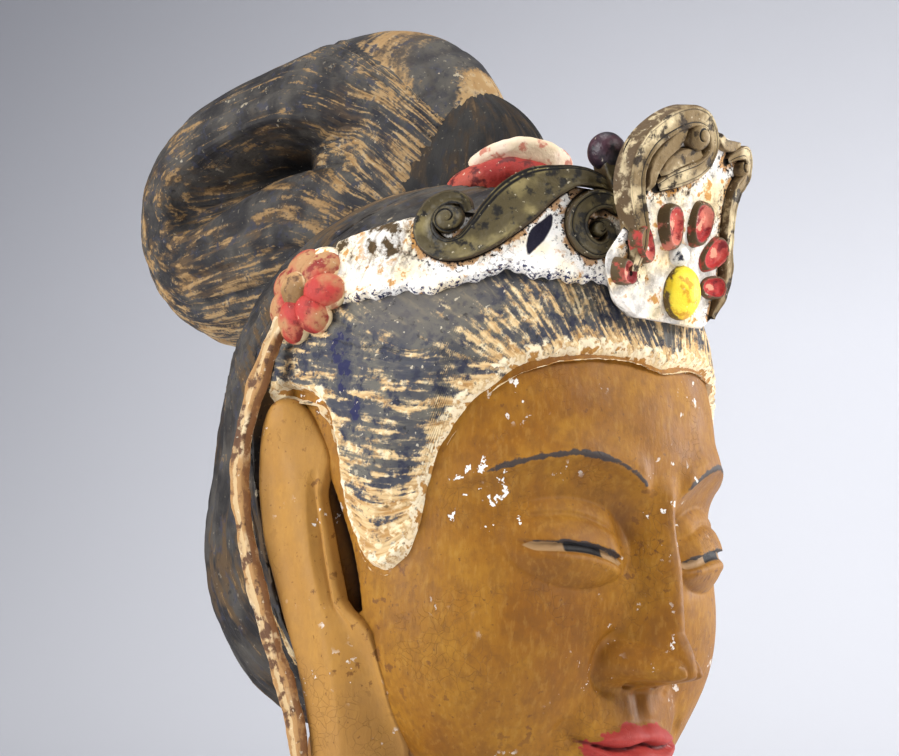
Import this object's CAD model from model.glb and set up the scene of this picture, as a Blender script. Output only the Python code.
"""A painted stucco bust of a bodhisattva, built on the CAD frame: an add-on with an operator for each group.

Lengths inside the maker functions are millimetres in the head's own frame, whose origin is at eye level: x to
the figure's left, y to its back and z up. The nod() function takes them to the row's frame, in millimetres.
"""

import bpy
import numpy as np
from mathutils import Matrix, Vector


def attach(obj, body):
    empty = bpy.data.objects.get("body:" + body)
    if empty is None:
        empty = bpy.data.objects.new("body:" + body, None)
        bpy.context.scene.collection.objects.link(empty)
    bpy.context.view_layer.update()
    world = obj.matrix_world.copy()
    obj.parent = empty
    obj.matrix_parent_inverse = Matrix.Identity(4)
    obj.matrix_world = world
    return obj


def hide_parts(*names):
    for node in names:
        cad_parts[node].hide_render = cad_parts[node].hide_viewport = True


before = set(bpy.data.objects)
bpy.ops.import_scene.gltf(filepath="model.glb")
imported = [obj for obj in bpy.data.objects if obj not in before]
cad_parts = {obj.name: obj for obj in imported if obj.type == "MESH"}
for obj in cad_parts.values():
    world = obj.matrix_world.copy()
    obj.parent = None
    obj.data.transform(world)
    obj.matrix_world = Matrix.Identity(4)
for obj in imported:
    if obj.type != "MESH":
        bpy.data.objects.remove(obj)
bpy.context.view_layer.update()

bl_info = {
    "name": "Bodhisattva Bust",
    "version": (1, 0, 0),
    "blender": (4, 2, 0),
    "location": "View3D > Sidebar > Bust",
    "description": "Builds a painted stucco bust with carved hair and a scrolled diadem",
    "category": "Add Mesh",
}

NODE = "bodhisattva_bust"

# The head, as in the solid model
HEIGHT = 195.0
THIRD = HEIGHT * 2 / 7
CHIN = -HEIGHT / 2
NOSE_BASE = CHIN + THIRD
BROW = NOSE_BASE + THIRD
MOUTH = NOSE_BASE - THIRD / 3
HEAD_AT = np.array([0.0, -6.0, 210.0])
NOD = np.radians(8.0)
CRANIUM = ((0, 8, 28), (72, 79, 72))
FACE = ((0, -14, -6), (64, 62, 80))
CHEEK = ((29, -34, -36), (34, 37, 40))
JAW = ((0, -38, -66), (41, 36, 31))
BACK_HAIR = ((0, 42, -14), (60, 43, 62))
HAIR_LIFT = 6.5
HAIRLINE = np.array([
    (0, 52), (12, 54), (22, 53.5), (32, 51), (41, 46.5), (47, 40), (52, 32), (56, 22), (57.5, 13), (58.5, 4),
    (59.5, -8), (62, -14), (66, -17.5), (71, -17), (75, -13), (78.5, -6.5), (81, 0), (83, 8), (85, 17),
    (87.5, 24), (92, 29), (108, 29), (113, 8), (117, -74), (180, -74),
], float)
ROUND = 76.0  # millimetres round the head for each radian, where a place is given by angle and height

NECK_RADIUS, NECK_Y, CREASE_PITCH = 45.0, 6.0, 13.0
SHOULDERS = ((0, 6, -4), (114, 62, 76), 2.4)
NECKLINE = np.array([(0, 20), (14, 38), (28, 54), (45, 66), (70, 74), (110, 80), (180, 84)], float)
ROBE_LIFT = 4.5


# Fields and surfaces

def smooth_min(a, b, reach):
    near = np.maximum(reach - np.abs(a - b), 0) / reach
    return np.minimum(a, b) - near * near * reach / 4


def smoothstep(v, low, high):
    t = np.clip((v - low) / (high - low), 0, 1)
    return t * t * (3 - 2 * t)


def bell(v, width):
    return np.exp(-((v / width) ** 2))


def bump(x, z, cx, cz, rx, rz, power=2.0):
    """A soft round bump of height 1 that ends at the edge of its ellipse."""
    return np.maximum(1 - ((x - cx) / rx) ** 2 - ((z - cz) / rz) ** 2, 0) ** power


def ellipsoid(p, shape):
    """Roughly the distance from points to an ellipsoid, negative inside."""
    at, radii = (np.asarray(v, float) for v in shape)
    q = (p - at) / radii
    scaled = np.linalg.norm(q, axis=-1)
    slope = np.linalg.norm(q / radii, axis=-1)
    return scaled * (scaled - 1) / np.maximum(slope, 1e-9)


def plain_head(p):
    q = p.copy()
    q[..., 0] = np.abs(q[..., 0])
    d = ellipsoid(q, CRANIUM)
    for mass in (FACE, CHEEK, JAW):
        d = smooth_min(d, ellipsoid(q, mass), 18)
    return d


def hair_mass(p):
    return smooth_min(plain_head(p), ellipsoid(p, BACK_HAIR), 14)


def body(p):
    """The bare neck and shoulders, in the row's frame."""
    crease = 1.6 * bell(np.cos(np.pi * p[..., 2] / CREASE_PITCH), 0.35)
    neck = np.hypot(p[..., 0], p[..., 1] - NECK_Y) - NECK_RADIUS + crease
    at, radii, power = SHOULDERS
    q = np.abs((p - at) / np.array(radii, float)) ** power
    shoulders = (q.sum(-1) ** (1 / power) - 1) * min(radii)
    return smooth_min(neck, shoulders, 34)


def reach(field, start, rays, far=160.0, steps=70):
    """Walks in along each ray from far out until it meets the field's surface."""
    travel = np.full(rays.shape[:-1], far)
    for _ in range(steps):
        gap = field(start + rays * travel[..., None])
        travel = np.where(travel > 0.5, travel - np.clip(gap * 0.6, -2, 8), travel)
    return start + rays * travel[..., None]


def slope(field, p, step=0.6):
    """Unit normals of a field at points."""
    offsets = np.eye(3) * step
    n = np.stack([field(p + o) - field(p - o) for o in offsets], -1)
    return n / np.maximum(np.linalg.norm(n, axis=-1, keepdims=True), 1e-9)


def nod(p):
    """From the head's own frame to the row's."""
    c, s = np.cos(NOD), np.sin(NOD)
    x, y, z = p[..., 0], p[..., 1], p[..., 2]
    return np.stack([x, y * c - z * s, y * s + z * c], -1) + HEAD_AT


def noise(p, scale, seed=0, octaves=3):
    """Smooth value noise between -1 and 1, from a fixed lattice, for points in millimetres."""
    rng = np.random.default_rng(seed)
    lattice = rng.uniform(-1, 1, (32, 32, 32))
    total, weight = np.zeros(p.shape[:-1]), 0.0
    for octave in range(octaves):
        q = p * (2.0**octave / scale) + 7.3 * octave
        cell = np.floor(q).astype(int)
        f = q - cell
        f = f * f * (3 - 2 * f)
        value = 0
        for dx in (0, 1):
            for dy in (0, 1):
                for dz in (0, 1):
                    i, j, k = ((cell[..., n] + step) % 32 for n, step in enumerate((dx, dy, dz)))
                    corner = lattice[i, j, k]
                    wx = f[..., 0] if dx else 1 - f[..., 0]
                    wy = f[..., 1] if dy else 1 - f[..., 1]
                    wz = f[..., 2] if dz else 1 - f[..., 2]
                    value = value + corner * wx * wy * wz
        total += value * 0.5**octave
        weight += 0.5**octave
    return total / weight


def spread(values, count):
    """Rows of a table, smoothly resampled to count rows through a Catmull-Rom curve."""
    values = np.asarray(values, float)
    t = np.linspace(0, len(values) - 1, count)
    i = np.clip(t.astype(int), 0, len(values) - 2)
    f = (t - i)[:, None]
    padded = np.vstack([2 * values[0] - values[1], values, 2 * values[-1] - values[-2]])
    a, b, c, d = (padded[i + k] for k in range(4))
    return 0.5 * (2 * b + (c - a) * f + (2 * a - 5 * b + 4 * c - d) * f**2 + (3 * b - 3 * c + d - a) * f**3)


def level_rays(turn):
    """Level directions at angles round from the front."""
    return np.stack([np.sin(turn), -np.cos(turn), 0 * turn], -1)


def rays_down(turn, fall):
    """Directions at angles round from the front and down from straight up."""
    return np.stack([np.sin(turn) * np.sin(fall), -np.cos(turn) * np.sin(fall), np.cos(fall)], -1)


def on_axis(z, y=0):
    """Points on an upright axis, at heights z."""
    return np.stack([0 * z, y + 0 * z, z], -1)


def full_turn(count):
    """One row of even angles round a circle."""
    return np.linspace(0, 2 * np.pi, count, endpoint=False)[None, :]


# Meshes

def grid_faces(rows, columns, wrap=False):
    """Quads of a grid of points, row by row, and joined end to end when it wraps."""
    r = np.arange(rows - 1)[:, None]
    c = np.arange(columns if wrap else columns - 1)[None, :]
    near, far = r * columns, (r + 1) * columns
    nxt = (c + 1) % columns
    return np.stack([near + c, near + nxt, far + nxt, far + c], -1).reshape(-1, 4)


def mesh_object(name, points, faces, attributes=None, uv=None):
    """A mesh object from millimetre points in the row's frame, with float attributes and a UV map."""
    faces = np.asarray(faces)
    used = np.unique(faces)
    lookup = np.full(len(points), -1)
    lookup[used] = np.arange(len(used))
    points, faces = points[used] * 0.001, lookup[faces]
    sides = faces.shape[1]
    mesh = bpy.data.meshes.new(name)
    mesh.vertices.add(len(points))
    mesh.vertices.foreach_set("co", points.astype(np.float32).ravel())
    mesh.loops.add(faces.size)
    mesh.loops.foreach_set("vertex_index", faces.astype(np.int32).ravel())
    mesh.polygons.add(len(faces))
    mesh.polygons.foreach_set("loop_start", np.arange(0, faces.size, sides, dtype=np.int32))
    mesh.polygons.foreach_set("use_smooth", np.full(len(faces), True))
    for key, values in (attributes or {}).items():
        layer = mesh.attributes.new(key, "FLOAT", "POINT")
        layer.data.foreach_set("value", np.broadcast_to(values, (len(lookup),))[used].astype(np.float32))
    if uv is not None:
        layer = mesh.uv_layers.new(name="strand")
        layer.data.foreach_set("uv", uv[used][faces.ravel()].astype(np.float32).ravel())
    mesh.update(calc_edges=True)
    mesh.validate()
    piece = bpy.data.objects.new(name, mesh)
    bpy.context.scene.collection.objects.link(piece)
    return piece


def join_parts(parts):
    """One set of points, faces and attributes from several, each (points, faces, attributes, uv)."""
    offset, points, faces, uvs = 0, [], [], []
    attributes = {key: [] for part in parts for key in part[2]}
    for part_points, part_faces, part_attributes, part_uv in parts:
        points.append(part_points)
        faces.append(np.asarray(part_faces) + offset)
        offset += len(part_points)
        for key, values in attributes.items():
            values.append(np.broadcast_to(part_attributes.get(key, 0.0), (len(part_points),)))
        uvs.append(part_uv if part_uv is not None else np.zeros((len(part_points), 2)))
    joined = {key: np.concatenate(values) for key, values in attributes.items()}
    return np.vstack(points), np.vstack(faces), joined, np.vstack(uvs)


def both_sides(part):
    """A part and its mirror image, turned so that both face out."""
    points, faces, attributes, uv = part
    return [part, (points * [-1, 1, 1], np.asarray(faces)[:, ::-1], attributes, uv)]


def outward(points, faces, centre):
    """Faces turned to look away from a centre, judged by the whole."""
    corners = points[faces[:, :3]]
    normals = np.cross(corners[:, 1] - corners[:, 0], corners[:, 2] - corners[:, 0])
    facing = (normals * (corners.mean(1) - centre)).sum()
    return faces if facing > 0 else faces[:, ::-1]


def as_is(p):
    return p


def surface(p, wrap, centre, attributes, uv=None, place=nod):
    """A part from a grid of places: points, faces turned away from a centre, attributes and UV."""
    grid = p.shape[:2]
    points, faces = place(p).reshape(-1, 3), grid_faces(*grid, wrap)
    inside = np.broadcast_to(place(np.asarray(centre, float)), p.shape).reshape(-1, 3)
    attributes = {key: np.broadcast_to(value, grid).ravel() for key, value in attributes.items()}
    if uv is not None:
        uv = np.stack([np.broadcast_to(value, grid) for value in uv], -1).reshape(-1, 2)
    return points, outward(points, faces, inside[faces[:, 0]]), attributes, uv


def settle(piece):
    """Says what a piece rides, what it replaces and which material slot it fills."""
    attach(piece, "root")
    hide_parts(NODE)
    return piece


# The face: relief that stands forward of the plain head, seen from the front

def brow_line(x):
    return BROW + 10.5 - ((x - 31) / 24.0) ** 2 * 9.5


def lid_line(x):
    """The lower edge of the upper lid."""
    t = (x - 13) / 34.0
    return -5.0 + 4.6 * np.sin(np.pi * np.clip(t, 0, 1)) ** 1.3 * 0.55 + 3.0 * t


def mouth_line(x):
    return MOUTH + 1.1 * bell(x, 5) - 0.6 * bell(x - 9, 6) + 1.3 * smoothstep(x, 12, 24)


def face_relief(p):
    """How far forward each point of the plain head moves, and the distances that the paint follows."""
    x, z = np.abs(p[..., 0]), p[..., 2]
    along = np.clip((22 - z) / (22 - (NOSE_BASE + 6)), 0, 1)
    width = 5.6 + 3.6 * along**1.5
    under = smoothstep(z, NOSE_BASE - 3.5, NOSE_BASE + 6)
    ridge = (1.5 + 17.5 * along**1.25) * smoothstep(along, 0, 0.12) * under * np.exp(-((x / width) ** 2.2))
    tip = 4.2 * bump(x, z, 0, NOSE_BASE + 8, 10, 10, 1.3)
    wing = 7.6 * bump(x, z, 10.2, NOSE_BASE + 6, 8, 7.5, 1.0) * under
    crease = -1.5 * bell(np.hypot(x - 10.5, (z - NOSE_BASE - 6)) - 9.2, 1.6) * smoothstep(x, 10, 15)
    nostril = -3.5 * bump(x, z, 6.0, NOSE_BASE + 0.8, 3.4, 2.6, 1)

    above = z - brow_line(x)
    edge = smoothstep(x, 4, 12) * (1 - smoothstep(x, 50, 64))
    brow = (2.6 * bell(above - 1, 5.5) + 0.8 * bell(above, 1.3)) * edge
    socket = -6.0 * bump(x, z, 24, 7, 31, 20) - 3.0 * bump(x, z, 13, 0, 9, 13)
    ball = 6.6 * bump(x, z, 30, -1.5, 20.5, 13, 0.85)
    lid = lid_line(x)
    span = smoothstep(x, 12, 17) * (1 - smoothstep(x, 43, 48.5))
    below = lid - z
    upper = 1.5 * smoothstep(-below, -0.35, 0.35) * bell(np.maximum(-below - 1.5, 0), 5) * span
    opening = -0.9 * smoothstep(below, -0.2, 0.4) * (1 - smoothstep(below, 2.4, 3.4)) * span
    lower = 1.0 * bell(below - 4.6, 1.9) * span
    over_lid = z - lid - 6.3 - 1.2 * bell(x - 30, 12)
    fold = -0.9 * bell(over_lid, 0.9) * smoothstep(x, 12, 20) * (1 - smoothstep(x, 42, 50))
    bag = -0.7 * bell(below - 11 + ((x - 30) / 18) ** 2 * 3, 3) * bell(x - 28, 15)

    muzzle = 5.0 * bump(x, z, 0, MOUTH - 1, 34, 26, 1.6)
    parting = z - mouth_line(x)
    corner = np.clip(x / 23.0, 0, 1)
    top = MOUTH + 8.4 - 1.7 * bell(x, 3.2) - 8.6 * corner**1.6 - mouth_line(x)
    bottom = mouth_line(x) - (MOUTH - 10.2 + 11 * corner**2.4)
    up = np.clip(parting / np.maximum(top, 0.4), 0, 1)
    down = np.clip(-parting / np.maximum(bottom, 0.4), 0, 1)
    reach_out = np.sqrt(np.maximum(1 - corner**2.6, 0))
    upper_lip = 3.4 * np.sin(np.pi * up**0.75) ** 0.8 * (parting > 0) * reach_out
    lower_lip = 4.4 * np.sin(np.pi * down**0.7) ** 0.8 * (parting <= 0) * reach_out
    gap = -2.2 * bell(parting, 1.1) * (1 - smoothstep(x, 20, 27))
    dimple = -1.8 * bump(x, z, 25, MOUTH + 2.5, 7, 7)
    philtrum = (-0.8 * bell(x, 2.4) + 0.4 * bell(x - 4.6, 2.1)) * smoothstep(z, MOUTH + 7, MOUTH + 10)
    philtrum *= 1 - smoothstep(z, NOSE_BASE - 3, NOSE_BASE + 1)
    laugh = -1.1 * bell(x - 16 - (NOSE_BASE + 2 - z) * 0.72, 4) * bump(x, z, 24, MOUTH + 8, 16, 22)
    chin = 6.0 * bump(x, z, 0, CHIN + 13, 24, 17, 1.5) - 2.6 * bump(x, z, 0, MOUTH - 15.5, 20, 7)

    lips = np.minimum(top - parting, parting + bottom) * (x < 23)
    relief = ridge + tip + wing + crease + nostril + brow + socket + ball
    relief = relief + upper + opening + lower + fold + bag
    relief = relief + muzzle + upper_lip + lower_lip + gap + dimple + philtrum + laugh + chin
    paint = {
        "brow": np.where(edge > 0.02, np.abs(above - 0.6) + 3 * (1 - edge), 20.0),
        "lid": np.where(span > 0.02, np.abs(below) + 2 * (1 - span), 20.0),
        "eye": np.where(span > 0.02, np.minimum(below, 2.9 - below), -20.0) - 2 * (1 - span),
        "iris": np.abs(x - 30.5),
        "lips": np.where(x < 23, lips, -20.0),
        "parting": np.abs(parting),
    }
    return relief, paint


# What the paint reads where there is no face: far from each of its features
FACELESS = {"brow": 20.0, "lid": 20.0, "eye": -20.0, "iris": 20.0, "lips": -20.0, "parting": 20.0}
# The slit between each ear and the cheek: (back, up)
EAR_SLIT = np.array([(3, 12), (0, 6), (-4.5, -4), (-9, -15), (-12.5, -25), (-14.5, -33)], float)


def path_distance(a, b, path):
    """Distance from places (a, b) to a path, and how far along it, from 0 to 1, the nearest point lies."""
    best, share = np.full(a.shape, 1e9), np.zeros(a.shape)
    for k in range(len(path) - 1):
        span = path[k + 1] - path[k]
        f = np.clip(((a - path[k, 0]) * span[0] + (b - path[k, 1]) * span[1]) / max(span @ span, 1e-6), 0, 1)
        away = np.hypot(a - path[k, 0] - f * span[0], b - path[k, 1] - f * span[1])
        share = np.where(away < best, (k + f) / (len(path) - 1), share)
        best = np.minimum(best, away)
    return best, share


def face_part():
    """The skin of the face, back to the ears and down to the neck, with its features."""
    columns, rows = 320, 262
    even = np.linspace(-1, 1, columns) * np.radians(128)
    turn = even - 0.5 * np.sin(even)
    turn *= np.radians(116) / turn[-1]
    drop = np.radians(np.linspace(13, 158, rows))
    drop = drop + 0.16 * np.sin(2 * drop)
    t, d = np.meshgrid(turn, drop)
    rays = rays_down(t, d)
    p = reach(plain_head, np.array([0.0, -14.0, -18.0]), rays)
    front = smoothstep(-p[..., 1], 16, 48)
    relief, paint = face_relief(p)
    p[..., 1] -= relief * front
    neck = body(nod(p))
    away = slope(plain_head, p)
    p += away * (1.8 * np.maximum(1 - np.abs(neck) / 9, 0) ** 2)[..., None]
    p += away * (0.16 * noise(p, 14, 3) + 0.05 * noise(p, 3, 4, 2))[..., None]
    gap, share = path_distance(p[..., 1], p[..., 2], EAR_SLIT)
    slit = bell(gap, 2.2 + 1.6 * share) * smoothstep(share, 0, 0.35) * (1 - smoothstep(share, 0.96, 1))
    slit = slit * (np.abs(p[..., 0]) > 45)
    p -= away * (7 * slit)[..., None]
    attributes = {key: np.where(front > 0.5, value, FACELESS[key]) for key, value in paint.items()}
    attributes["flake"] = bump(p[..., 0], p[..., 2], -52, 10, 13, 24, 0.7) * (p[..., 1] < 10)
    attributes["hollow"] = -relief * front * (relief < 0) * 0.4 + 8 * slit
    points, faces, attributes, uv = surface(p, False, (0, 0, 0), attributes)
    angle = np.degrees(np.abs(np.arctan2(p[..., 0], -p[..., 1]))).ravel()
    hidden = p[..., 2].ravel() > np.interp(angle, HAIRLINE[:, 0], HAIRLINE[:, 1]) + 9
    return points, faces[~hidden[faces].all(1)], attributes, uv


# The hair

def edge_distance(u, z):
    """Distance in millimetres from places on the developed side of the head to the hairline."""
    line = spread(HAIRLINE[:-2], 160)
    return path_distance(u, z, np.stack([np.radians(line[:, 0]) * ROUND, line[:, 1]], -1))[0]


# Which way the hair is combed: (millimetres round, height, degrees above the way back)
COMB = np.array([(0, 55, 74), (0, 76, 66), (20, 57, 60), (25, 75, 54), (42, 52, 50), (45, 72, 46),
    (56, 48, 34), (62, 66, 38), (65, 41, 12), (70, 56, 28), (85, 66, 30), (71, 33, -10), (82, 45, 6),
    (100, 60, 26), (98, 44, 6), (76, 20, -34), (88, 28, -6), (102, 30, 10), (79, 4, -54), (88, 10, -14),
    (98, 14, 20), (108, 24, 36), (83, -6, -64), (90, -7, 0), (99, -5, 46), (106, 8, 50), (122, 44, 18),
    (140, 50, 12)], float)


def combed_from(u, z):
    """How far along the hairline, in millimetres, the strand through each place starts."""
    line = spread(HAIRLINE[:-2], 400)
    line[:, 0] = np.radians(line[:, 0]) * ROUND
    step = np.gradient(line, axis=0)
    arc = np.concatenate([[0], np.cumsum(np.linalg.norm(np.diff(line, axis=0), axis=1))])
    heading = np.radians(COMB[:, 2])
    at, done = np.stack([u, z], -1), np.zeros(u.shape, bool)
    for _ in range(90):
        near = np.exp(-((at[..., None, :] - COMB[:, :2]) ** 2).sum(-1) / (2 * 13.0**2)) + 1e-12
        go = np.stack([near @ np.cos(heading), near @ np.sin(heading)], -1)
        go /= np.linalg.norm(go, axis=-1, keepdims=True)
        new = at - 1.6 * go
        gap_before = at[..., 1] - np.interp(at[..., 0], line[:, 0], line[:, 1])
        gap_after = new[..., 1] - np.interp(new[..., 0], line[:, 0], line[:, 1])
        share = np.clip(gap_before / np.maximum(gap_before - gap_after, 1e-6), 0, 1)
        out = gap_after < 0
        at = np.where(done[..., None], at, np.where(out[..., None], at + (new - at) * share[..., None], new))
        done |= out | (new[..., 0] < 0)
    starts, ends = line[:, 0] + 1j * line[:, 1], at[..., 0] + 1j * at[..., 1]
    best = np.array([np.abs(row[:, None] - starts).argmin(1) for row in ends])
    tangent = step / np.linalg.norm(step, axis=1, keepdims=True)
    return arc[best] + ((at - line[best]) * tangent[best]).sum(-1)


def carve(phase, pitch, sharp=0.55):
    """Height from 0 in a groove to 1 along a lock, for a phase across the locks."""
    return np.abs(np.sin(np.pi * phase / pitch)) ** sharp


def groove(coarse, fine):
    """How deep each place lies between the locks, from 0 to 1."""
    return 1 - 0.5 * coarse - 0.5 * fine


def front_hair_part():
    """The hair from under the diadem down to the hairline, as far back as the ears."""
    columns, rows = 520, 112
    turn = np.radians(np.linspace(-118, 118, columns))
    turn = turn + 0.1 * np.sin(2 * turn)
    turn *= np.radians(119) / turn[-1]
    degrees = np.degrees(np.abs(turn))
    line = np.interp(degrees, HAIRLINE[:, 0], HAIRLINE[:, 1])
    kernel = np.hanning(9) / np.hanning(9).sum()
    low = np.convolve(np.pad(line, 4, mode="edge"), kernel, "valid")
    v = np.linspace(0, 1, rows)[:, None] ** 0.9
    z = 82 + (low[None, :] - 1.2 - 82) * v
    t = np.broadcast_to(turn, z.shape)
    start = on_axis(z)
    rays = level_rays(t)
    p = reach(hair_mass, start, rays)
    away = slope(hair_mass, p, 3.0)
    u = np.abs(t) * ROUND
    side = t > 0
    from_edge = edge_distance(u, z)
    wander = 1.7 * noise(p, 22, 11) + 0.35 * noise(p, 5, 12)
    half = columns // 2
    comb = combed_from(u[:, half:], z[:, half:])
    swept = np.concatenate([comb[:, ::-1], comb], 1) + wander
    sag = 0.06 * (1 - smoothstep(z, -14, 16))
    level = z - sag * (u - 92) ** 2 - 0.14 * np.maximum(86 - u, 0) + 0.5 * wander
    banded = (46 + 3 * noise(p, 14, 16) - z > 0) & (u > 52)
    phase = np.where(banded, level, swept)
    pitch = np.where(banded, 6.3, 6.6)
    temple = smoothstep(u, 38, 66)
    lobe = temple * smoothstep(12 - z, 0, 16)
    coarse = carve(phase, pitch, 0.7)
    fine = carve(phase + 0.5 * noise(p, 3, 15), pitch / 2.6, 0.8)
    slate = bump(u, z, 92, 62, 30, 15, 0.7) * (1 - 0.4 * banded)
    depth = (1.0 - 0.45 * smoothstep(z, 60, 78)) * (1 - 0.7 * slate) * (1 - 0.25 * temple)
    relief = depth * ((0.7 + 0.4 * lobe) * coarse + 0.75 * fine - 0.7)
    relief = relief + 0.45 * noise(p, 9, 13)
    ragged = from_edge + 1.0 * noise(p, 6, 14) - 0.6
    rim = smoothstep(ragged, -1.2, 2.6)
    lift = -1.5 + rim * 4.4 + 3.4 * smoothstep(from_edge, 2, 20)
    p = p + away * (lift + relief * rim)[..., None]
    stripe = np.cos(2 * np.pi * phase / pitch + 3.0 * noise(p, 9, 17)) * (0.6 + 0.8 * noise(p, 16, 18))
    bare = np.where(banded, 0.13 * stripe - 0.05 + 0.17 * smoothstep(16 - z, 0, 18), 0.08 * stripe - 0.02)
    bare = bare + 0.16 * smoothstep(from_edge, 9, 1) - 0.1 * smoothstep(z, 66, 78) - 0.16 * slate
    patch = bump(u, z, 115, 46, 5.5, 6, 0.6) + bump(u, z, 110, 37, 4, 5, 0.6) + bump(u, z, 103, 28, 3, 4, 0.6)
    patch = patch * (0.75 + 0.9 * noise(p, 5, 19)) + 0.35 * bump(u, z, 108, 38, 11, 20)
    attributes = {"groove": groove(coarse, fine), "edge": ragged, "bare": bare, "navy": patch, "slate": slate}
    uv = phase / 10, np.where(banded, u, u * 0.7 + z * 0.5) / 10 + 30 * side
    return surface(p, False, (0, 0, 0), attributes, uv)


def back_hair_part():
    """The hair over the crown and down the back, combed in long wavy locks."""
    columns, rows = 320, 130
    even = np.linspace(-np.pi, np.pi, columns, endpoint=False)
    degrees = np.degrees(np.abs(even))
    low = np.interp(degrees, [0, 104, 110, 118, 180], [76, 76, 30, -74, -78])
    edge = reach(hair_mass, on_axis(low), level_rays(even)) - [0, 4, 20]
    fall = np.arctan2(np.hypot(edge[:, 0], edge[:, 1]), edge[:, 2])
    around = np.arctan2(edge[:, 0], -edge[:, 1])
    v = np.linspace(0.004, 1, rows)[:, None]
    down, round_ = fall * v, np.broadcast_to(around, (rows, columns))
    rays = rays_down(round_, down)
    p = reach(hair_mass, np.array([0.0, 4, 20]), rays)
    away = slope(hair_mass, p, 3.0)
    u = np.abs(np.arctan2(p[..., 0], -p[..., 1])) * ROUND
    z = p[..., 2]
    wave = 2.4 * np.sin(z / 11 + u / 25) + 2.0 * noise(p, 24, 21)
    phase = u * (0.55 + 0.45 * smoothstep(80 - z, 0, 60)) + wave
    coarse, fine = carve(phase, 10.5), carve(phase + 0.4 * noise(p, 4, 22), 3.4, 0.7)
    crown = smoothstep(z, 78, 96)
    hem = smoothstep(v, 1.0, 0.955)
    relief = (1.5 * coarse + 1.0 * fine - 1.2) * (1 - 0.5 * crown) + 0.5 * noise(p, 10, 23)
    lift = HAIR_LIFT - 8.5 * (1 - hem)
    p = p + away * (lift + relief * hem)[..., None]
    attributes = {"groove": groove(coarse, fine), "edge": 20.0, "bare": -0.14, "navy": 0.0, "dark": 0.95}
    return surface(p, True, (0, 0, 0), attributes, (phase / 10, z / 10))


# The topknot

KNOT_AT, KNOT_TILT = np.array([0.0, 96.0, 102.0]), np.radians(17)
FOLD, LOOP, ROLL, KNOT_HALF, PINCH, HOLLOW = 34.0, 18.0, 32.0, 38.0, 0.32, 5.0
KNOT_CUT, CUT_FROM, CUT_SLOPE = 36.0, 104.0, 1.14


def knot_part():
    """A roll of hair looped about a straight fold, with strands that run round the loop."""
    columns, rows = 360, 130
    turn = full_turn(columns)
    opening = np.arccos(-LOOP / ROLL)
    beta = np.linspace(opening - 0.004, -opening + 0.004, rows)[:, None]
    t, b = np.broadcast_arrays(turn, beta)
    seat = np.stack([50 * np.cos(t), 50 * np.sin(t), 30 * b], -1)
    plain = np.maximum(LOOP + ROLL * np.cos(b), 0)
    forward = -(4 + (FOLD * np.tanh(3 * np.cos(t)) - 4) * smoothstep(plain, 0, 11) + plain * np.cos(t))
    level = np.abs(plain * np.sin(t) + 0.011 * np.maximum(forward - 10, 0) ** 2)
    drawn = np.arccos(np.clip((level - LOOP) / ROLL, -LOOP / ROLL, 1))
    phase = np.where(np.cos(t) < 0, drawn, np.abs(b)) * ROLL
    phase = phase + 1.6 * np.sin(t * 2 + 0.6) + 2.6 * noise(seat, 26, 31) + 0.8 * np.sin(3 * t + b)
    length = np.where(np.cos(t) < 0, 3 * np.pi + forward / 10, 6 * np.minimum(t, 2 * np.pi - t))
    coarse, fine = carve(phase, 9.5, 0.8), carve(phase + 0.5 * noise(seat, 7, 32), 3.2, 0.8)
    relief = 1.5 * coarse + 0.45 * fine - 0.9 + 0.8 * noise(seat, 14, 33)
    swell = 1 + relief / ROLL
    out = np.maximum(LOOP + ROLL * swell * np.cos(b), 0)
    deep = np.exp(-((out / (6.8 + 2.4 * np.cos(t))) ** 2))
    half = KNOT_HALF * (1 - PINCH * smoothstep(-np.cos(t), 0, 1))
    side = np.sign(b) * (half * swell * np.abs(np.sin(b)) * (1 - deep) + HOLLOW * deep)
    fold = 4 + (FOLD * np.tanh(3 * np.cos(t)) - 4) * smoothstep(out, 0, 11)
    along = fold + out * np.cos(t)
    up = out * np.sin(t) + 9 * bell(along, 34) * (1 - smoothstep(out, 2, 24))
    c, s = np.cos(KNOT_TILT), np.sin(KNOT_TILT)
    p = np.stack([side, KNOT_AT[1] + along * c + up * s, KNOT_AT[2] - along * s + up * c], -1)
    ahead = KNOT_CUT - np.abs(p[..., 0]) - CUT_SLOPE * np.maximum(p[..., 2] - CUT_FROM, -4) - p[..., 1]
    p[..., 1] += np.maximum(ahead, 0)
    low_rear = smoothstep(0.75 * np.cos(t) - 0.66 * np.sin(t), 0, 0.95) * smoothstep(np.abs(b), 1.5, 0.3)
    front = smoothstep(-np.cos(t), 0.2, 0.9)
    bare = 0.06 * low_rear + 0.03 * front - 0.05 * smoothstep(np.sin(t), 0.3, 1)
    bare = bare + 0.05 * np.cos(2 * np.pi * phase / 9.5)
    border = 20 - 19 * bell(ahead + 3.2, 2.4)
    hidden = smoothstep(ahead, -1.2, 0.4)
    attributes = {"groove": groove(coarse, fine), "edge": border, "bare": bare, "navy": 0.0,
                  "deep": np.maximum(deep, hidden), "dark": 0.92 - 0.3 * low_rear - 0.2 * front}
    return surface(p, True, KNOT_AT, attributes, (phase / 10, length))


# The ears

EAR_MIDDLE, EAR_TOP, EAR_BOTTOM = np.array([69.5, 0.0, -36.0]), 29.0, -101.0
EAR_WIDTHS = np.array([(-1, 13), (-0.35, 13), (0.35, 17), (1, 20)], float)
EAR_CENTRE = np.array([(-1, -24), (-0.5, -22), (-0.2, -17), (0, -11), (0.3, -2), (0.6, 5), (1, 14)], float)


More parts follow.
